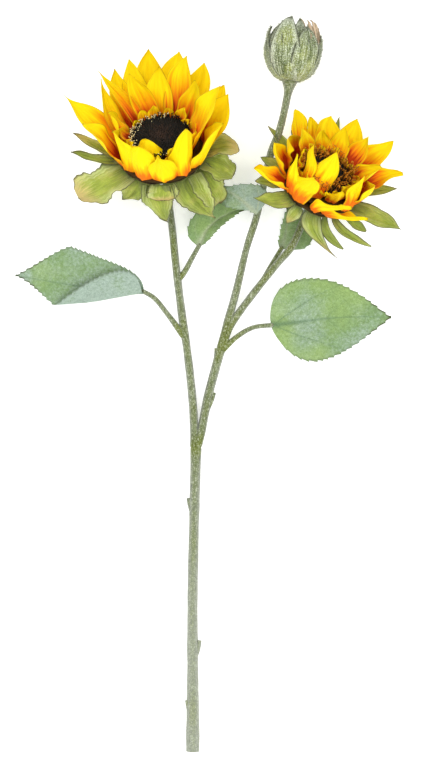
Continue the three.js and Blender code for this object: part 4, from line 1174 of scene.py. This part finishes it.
class SPRAY_OT_discs(Build):
    """Makes the dark disc of each bloom from spiralling florets, and its ring of stamens"""

    bl_idname = "spray.discs"
    bl_label = "Discs and stamens"

    def build(self, sizes, tints):
        dark = disc_finish("disc_florets", tints)
        gold = stamen_finish("stamens", tints)
        rng = np.random.default_rng(SEED + 4)
        for name, bloom in BLOOMS.items():
            disc = [turned(DISC_DOME, bloom), self.florets(bloom, sizes.disc_florets, rng)]
            piece(f"{name}_disc_florets", disc, dark, [f"{name}_disc"])
            stamens = self.stamens(bloom, THREADS[name], rng)
            piece(f"{name}_stamens", [stamens], gold, [f"{name}_disc"])

    @staticmethod
    def florets(bloom, count, rng):
        """Spikes on the dome: number n stands at the golden angle times n, at a radius that goes
        with the root of n."""
        axes = bloom_axes(bloom)
        n = np.arange(count)
        share = np.sqrt((n + 0.5) / count)
        r = DISC_REACH * share
        a = n * np.radians(GOLDEN_ANGLE)
        dome = np.interp(r, DOME_RADII, DOME_HEIGHTS)
        places = around(bloom.centre, axes, r * bloom.scale, a, dome * bloom.scale)
        ways = axes[2] + spokes(axes, a)[0] * (r[:, None] / 26) + rng.normal(0, 0.16, (count, 3))
        template, tris = spike(6, [(0.75, -0.8), (0.85, 0.6), (0.5, 1.5), (0.62, 1.9), (0, 1.55)])
        sizes = bloom.scale * rng.uniform(0.75, 1.2, count) * (0.75 + 0.35 * share)
        return scattered(template, tris, places, frames_on(ways), sizes, middle=1 - share,
                         tone=rng.random(count))

    @staticmethod
    def stamens(bloom, threads, rng, stations=9, sides=4):
        """Curled threads round the disc: base + out (rise) + ray (lean) + side (curl), over share
        t, as thin limbs. The dark ones' tips are pale most often at the disc's upper left."""
        axes = bloom_axes(bloom)
        out = axes[2]
        count = threads.count
        a = np.linspace(0, 2 * np.pi, count, endpoint=False) + rng.normal(0, 0.03, count)
        r = threads.outer - (threads.outer - threads.inner) * rng.random(count) ** 2
        ray, side = spokes(axes, a)
        t = np.linspace(0, 1, stations)[None, :, None]
        height = rng.uniform(threads.low, threads.high, (count, 1, 1))
        lean = rng.uniform(-0.2, 0.45, (count, 1, 1)) * height
        curl = rng.uniform(-1, 1, (count, 1, 1)) * threads.curl
        start = (np.array(bloom.centre) + (ray * r[:, None] + out * 0.4) * bloom.scale)[:, None]
        line = start + bloom.scale * (
            out * height * np.sin(1.9 * t) / np.sin(1.9 * 0.83) + ray[:, None] * lean * t ** 2
            + side[:, None] * curl * np.sin(3.4 * t) * t)
        way = unit(np.gradient(line, axis=1))
        across = unit(np.cross(way, ray[:, None] + 0.2 * side[:, None]))
        over = np.cross(way, across)
        thick = threads.thick * (1 + 1.5 * smooth(0.7, 0.92, t[0]) - 1.7 * smooth(0.93, 1.0, t[0]))
        angle = np.linspace(0, 2 * np.pi, sides, endpoint=False)
        tones = rng.random(count) < 0.06 + 0.7 * np.clip(np.cos(a - 2.6), threads.gold, 1)
        return joined([
            round_form(limb(line[k], thick, across[k], over[k], angle),
                       along=t[0], tone=tones[k], gold=threads.gold)
            for k in range(count)])


class SPRAY_OT_bud(Build):
    """Makes the closed bud: a core, the bracts that wrap it, petal tips and fuzz"""

    bl_idname = "spray.bud"
    bl_label = "Bud"

    def build(self, sizes, tints):
        rng = np.random.default_rng(SEED + 5)
        wall = sizes.sepal_thickness * MM
        t = np.linspace(0, BUD_CORE, 40)[:, None]
        angle = np.linspace(0, 2 * np.pi, 72, endpoint=False)[None]
        r = (egg_radius(t) - 1.2) * np.sqrt(1 - (t / (BUD_CORE + 0.005)) ** 14) * smooth(-0.02, 0.03, t)
        r = r.clip(0.1) * (1 + 0.02 * np.cos(9 * angle))
        rings = around(BUD_BASE, bud_axes(), r, angle, t * BUD_HEIGHT)
        # The core is marked low, so it takes the painted shade of the hollows.
        core = round_form(rings, along=t, across=np.cos(3 * angle), tone=0.3, edge=0.8, low=1)
        forms = [core] + [bract(row, wall, rng) for row in BRACTS]
        finish = bud_finish("bud_fuzz", tints)
        piece("bud_bracts", forms, finish, ["bud"])
        tips = [bract(row, wall, rng, BUD_PETAL_START, BUD_PETAL_SINK) for row in BUD_PETALS]
        piece("bud_petal_tips", tips, tip_finish("bud_petal_cloth", tints), ["bud"])
        hairs = self.hairs(joined(forms[1:]), sizes.fuzz_length * MM, BUD_HAIRS, rng)
        piece("bud_fuzz_hairs", [hairs], finish, ["bud"])

    @staticmethod
    def hairs(skin, length, count, rng):
        """Short hairs that stand out from the bracts, leaning to the crown at random."""
        out = bud_axes()[2]
        chosen = rng.choice(np.where(skin.values["front"] < 0.5)[0], count)
        places = skin.points[chosen]
        from_axis = places - np.array(BUD_BASE)
        from_axis = unit(from_axis - (from_axis @ out)[:, None] * out)
        ways = from_axis + out * rng.uniform(0.1, 1.2, (count, 1)) + rng.normal(0, 0.3, (count, 3))
        template, tris = spike(3, [(0.06, -0.1), (0.04, 0.6), (0, 1)])
        return scattered(template, tris, places, frames_on(ways), length * rng.uniform(0.4, 1.2, count),
                         along=0.5, across=0.0, tone=rng.random(count), edge=0.85)


class SPRAY_OT_stage(Build):
    """Sets the pale floor, the soft lights and the camera over the spray"""

    bl_idname = "spray.stage"
    bl_label = "Stage"

    def build(self, sizes, tints):
        scene = bpy.context.scene
        mesh = bpy.data.meshes.new("floor")
        corners = [(x * FLOOR_REACH, y * FLOOR_REACH, 0) for x, y in ((-1, -1), (1, -1), (1, 1), (-1, 1))]
        mesh.from_pydata(corners, [], [(0, 1, 2, 3)])
        mesh.materials.append(floor_finish("floor_pale", tints))
        floor = bpy.data.objects.new("floor", mesh)
        scene.collection.objects.link(floor)
        for name, (place, width, power) in LIGHTS.items():
            light = bpy.data.lights.new(name, "AREA")
            light.size = width
            light.energy = power
            lamp = bpy.data.objects.new(name, light)
            scene.collection.objects.link(lamp)
            lamp.location = place
            lamp.rotation_euler = (-lamp.location).to_track_quat("-Z", "Y").to_euler()
        world = bpy.data.worlds.new("studio")
        world.use_nodes = True
        sky = world.node_tree.nodes["Background"].inputs
        sky["Color"].default_value = (1, 1, 1, 1)
        sky["Strength"].default_value = STUDIO_LIGHT
        scene.world = world
        camera = bpy.data.cameras.new("camera")
        camera.lens = CAMERA_LENS
        camera.clip_end = CAMERA_REACH
        eye = bpy.data.objects.new("camera", camera)
        scene.collection.objects.link(eye)
        eye.location = (np.array(CAMERA_PLACE) + SHIFT) / MM
        scene.camera = eye
        scene.view_settings.view_transform = "Standard"


class SPRAY_PT_panel(bpy.types.Panel):
    """Lists the steps that build the spray."""

    bl_label = "Sunflower spray"
    bl_idname = "SPRAY_PT_panel"
    bl_space_type = "VIEW_3D"
    bl_region_type = "UI"
    bl_category = "Spray"

    def draw(self, context):
        for step in STEPS:
            self.layout.operator(step.bl_idname)
        for group in (context.scene.spray_sizes, context.scene.spray_colours):
            for name in group.__annotations__:
                self.layout.prop(group, name)


STEPS = (
    SPRAY_OT_stage, SPRAY_OT_stems, SPRAY_OT_leaves, SPRAY_OT_sepals, SPRAY_OT_petals,
    SPRAY_OT_discs, SPRAY_OT_bud,
)
CLASSES = (SpraySizes, SprayColours, *STEPS, SPRAY_PT_panel)


def register():
    for item in CLASSES:
        bpy.utils.register_class(item)
    bpy.types.Scene.spray_sizes = PointerProperty(type=SpraySizes)
    bpy.types.Scene.spray_colours = PointerProperty(type=SprayColours)


def unregister():
    del bpy.types.Scene.spray_colours
    del bpy.types.Scene.spray_sizes
    for item in reversed(CLASSES):
        bpy.utils.unregister_class(item)


def main():
    """Builds the spray round the loaded solids."""
    register()
    for step in STEPS:
        group, name = step.bl_idname.split(".")
        getattr(getattr(bpy.ops, group), name)()


if __name__ == "__main__":
    main()
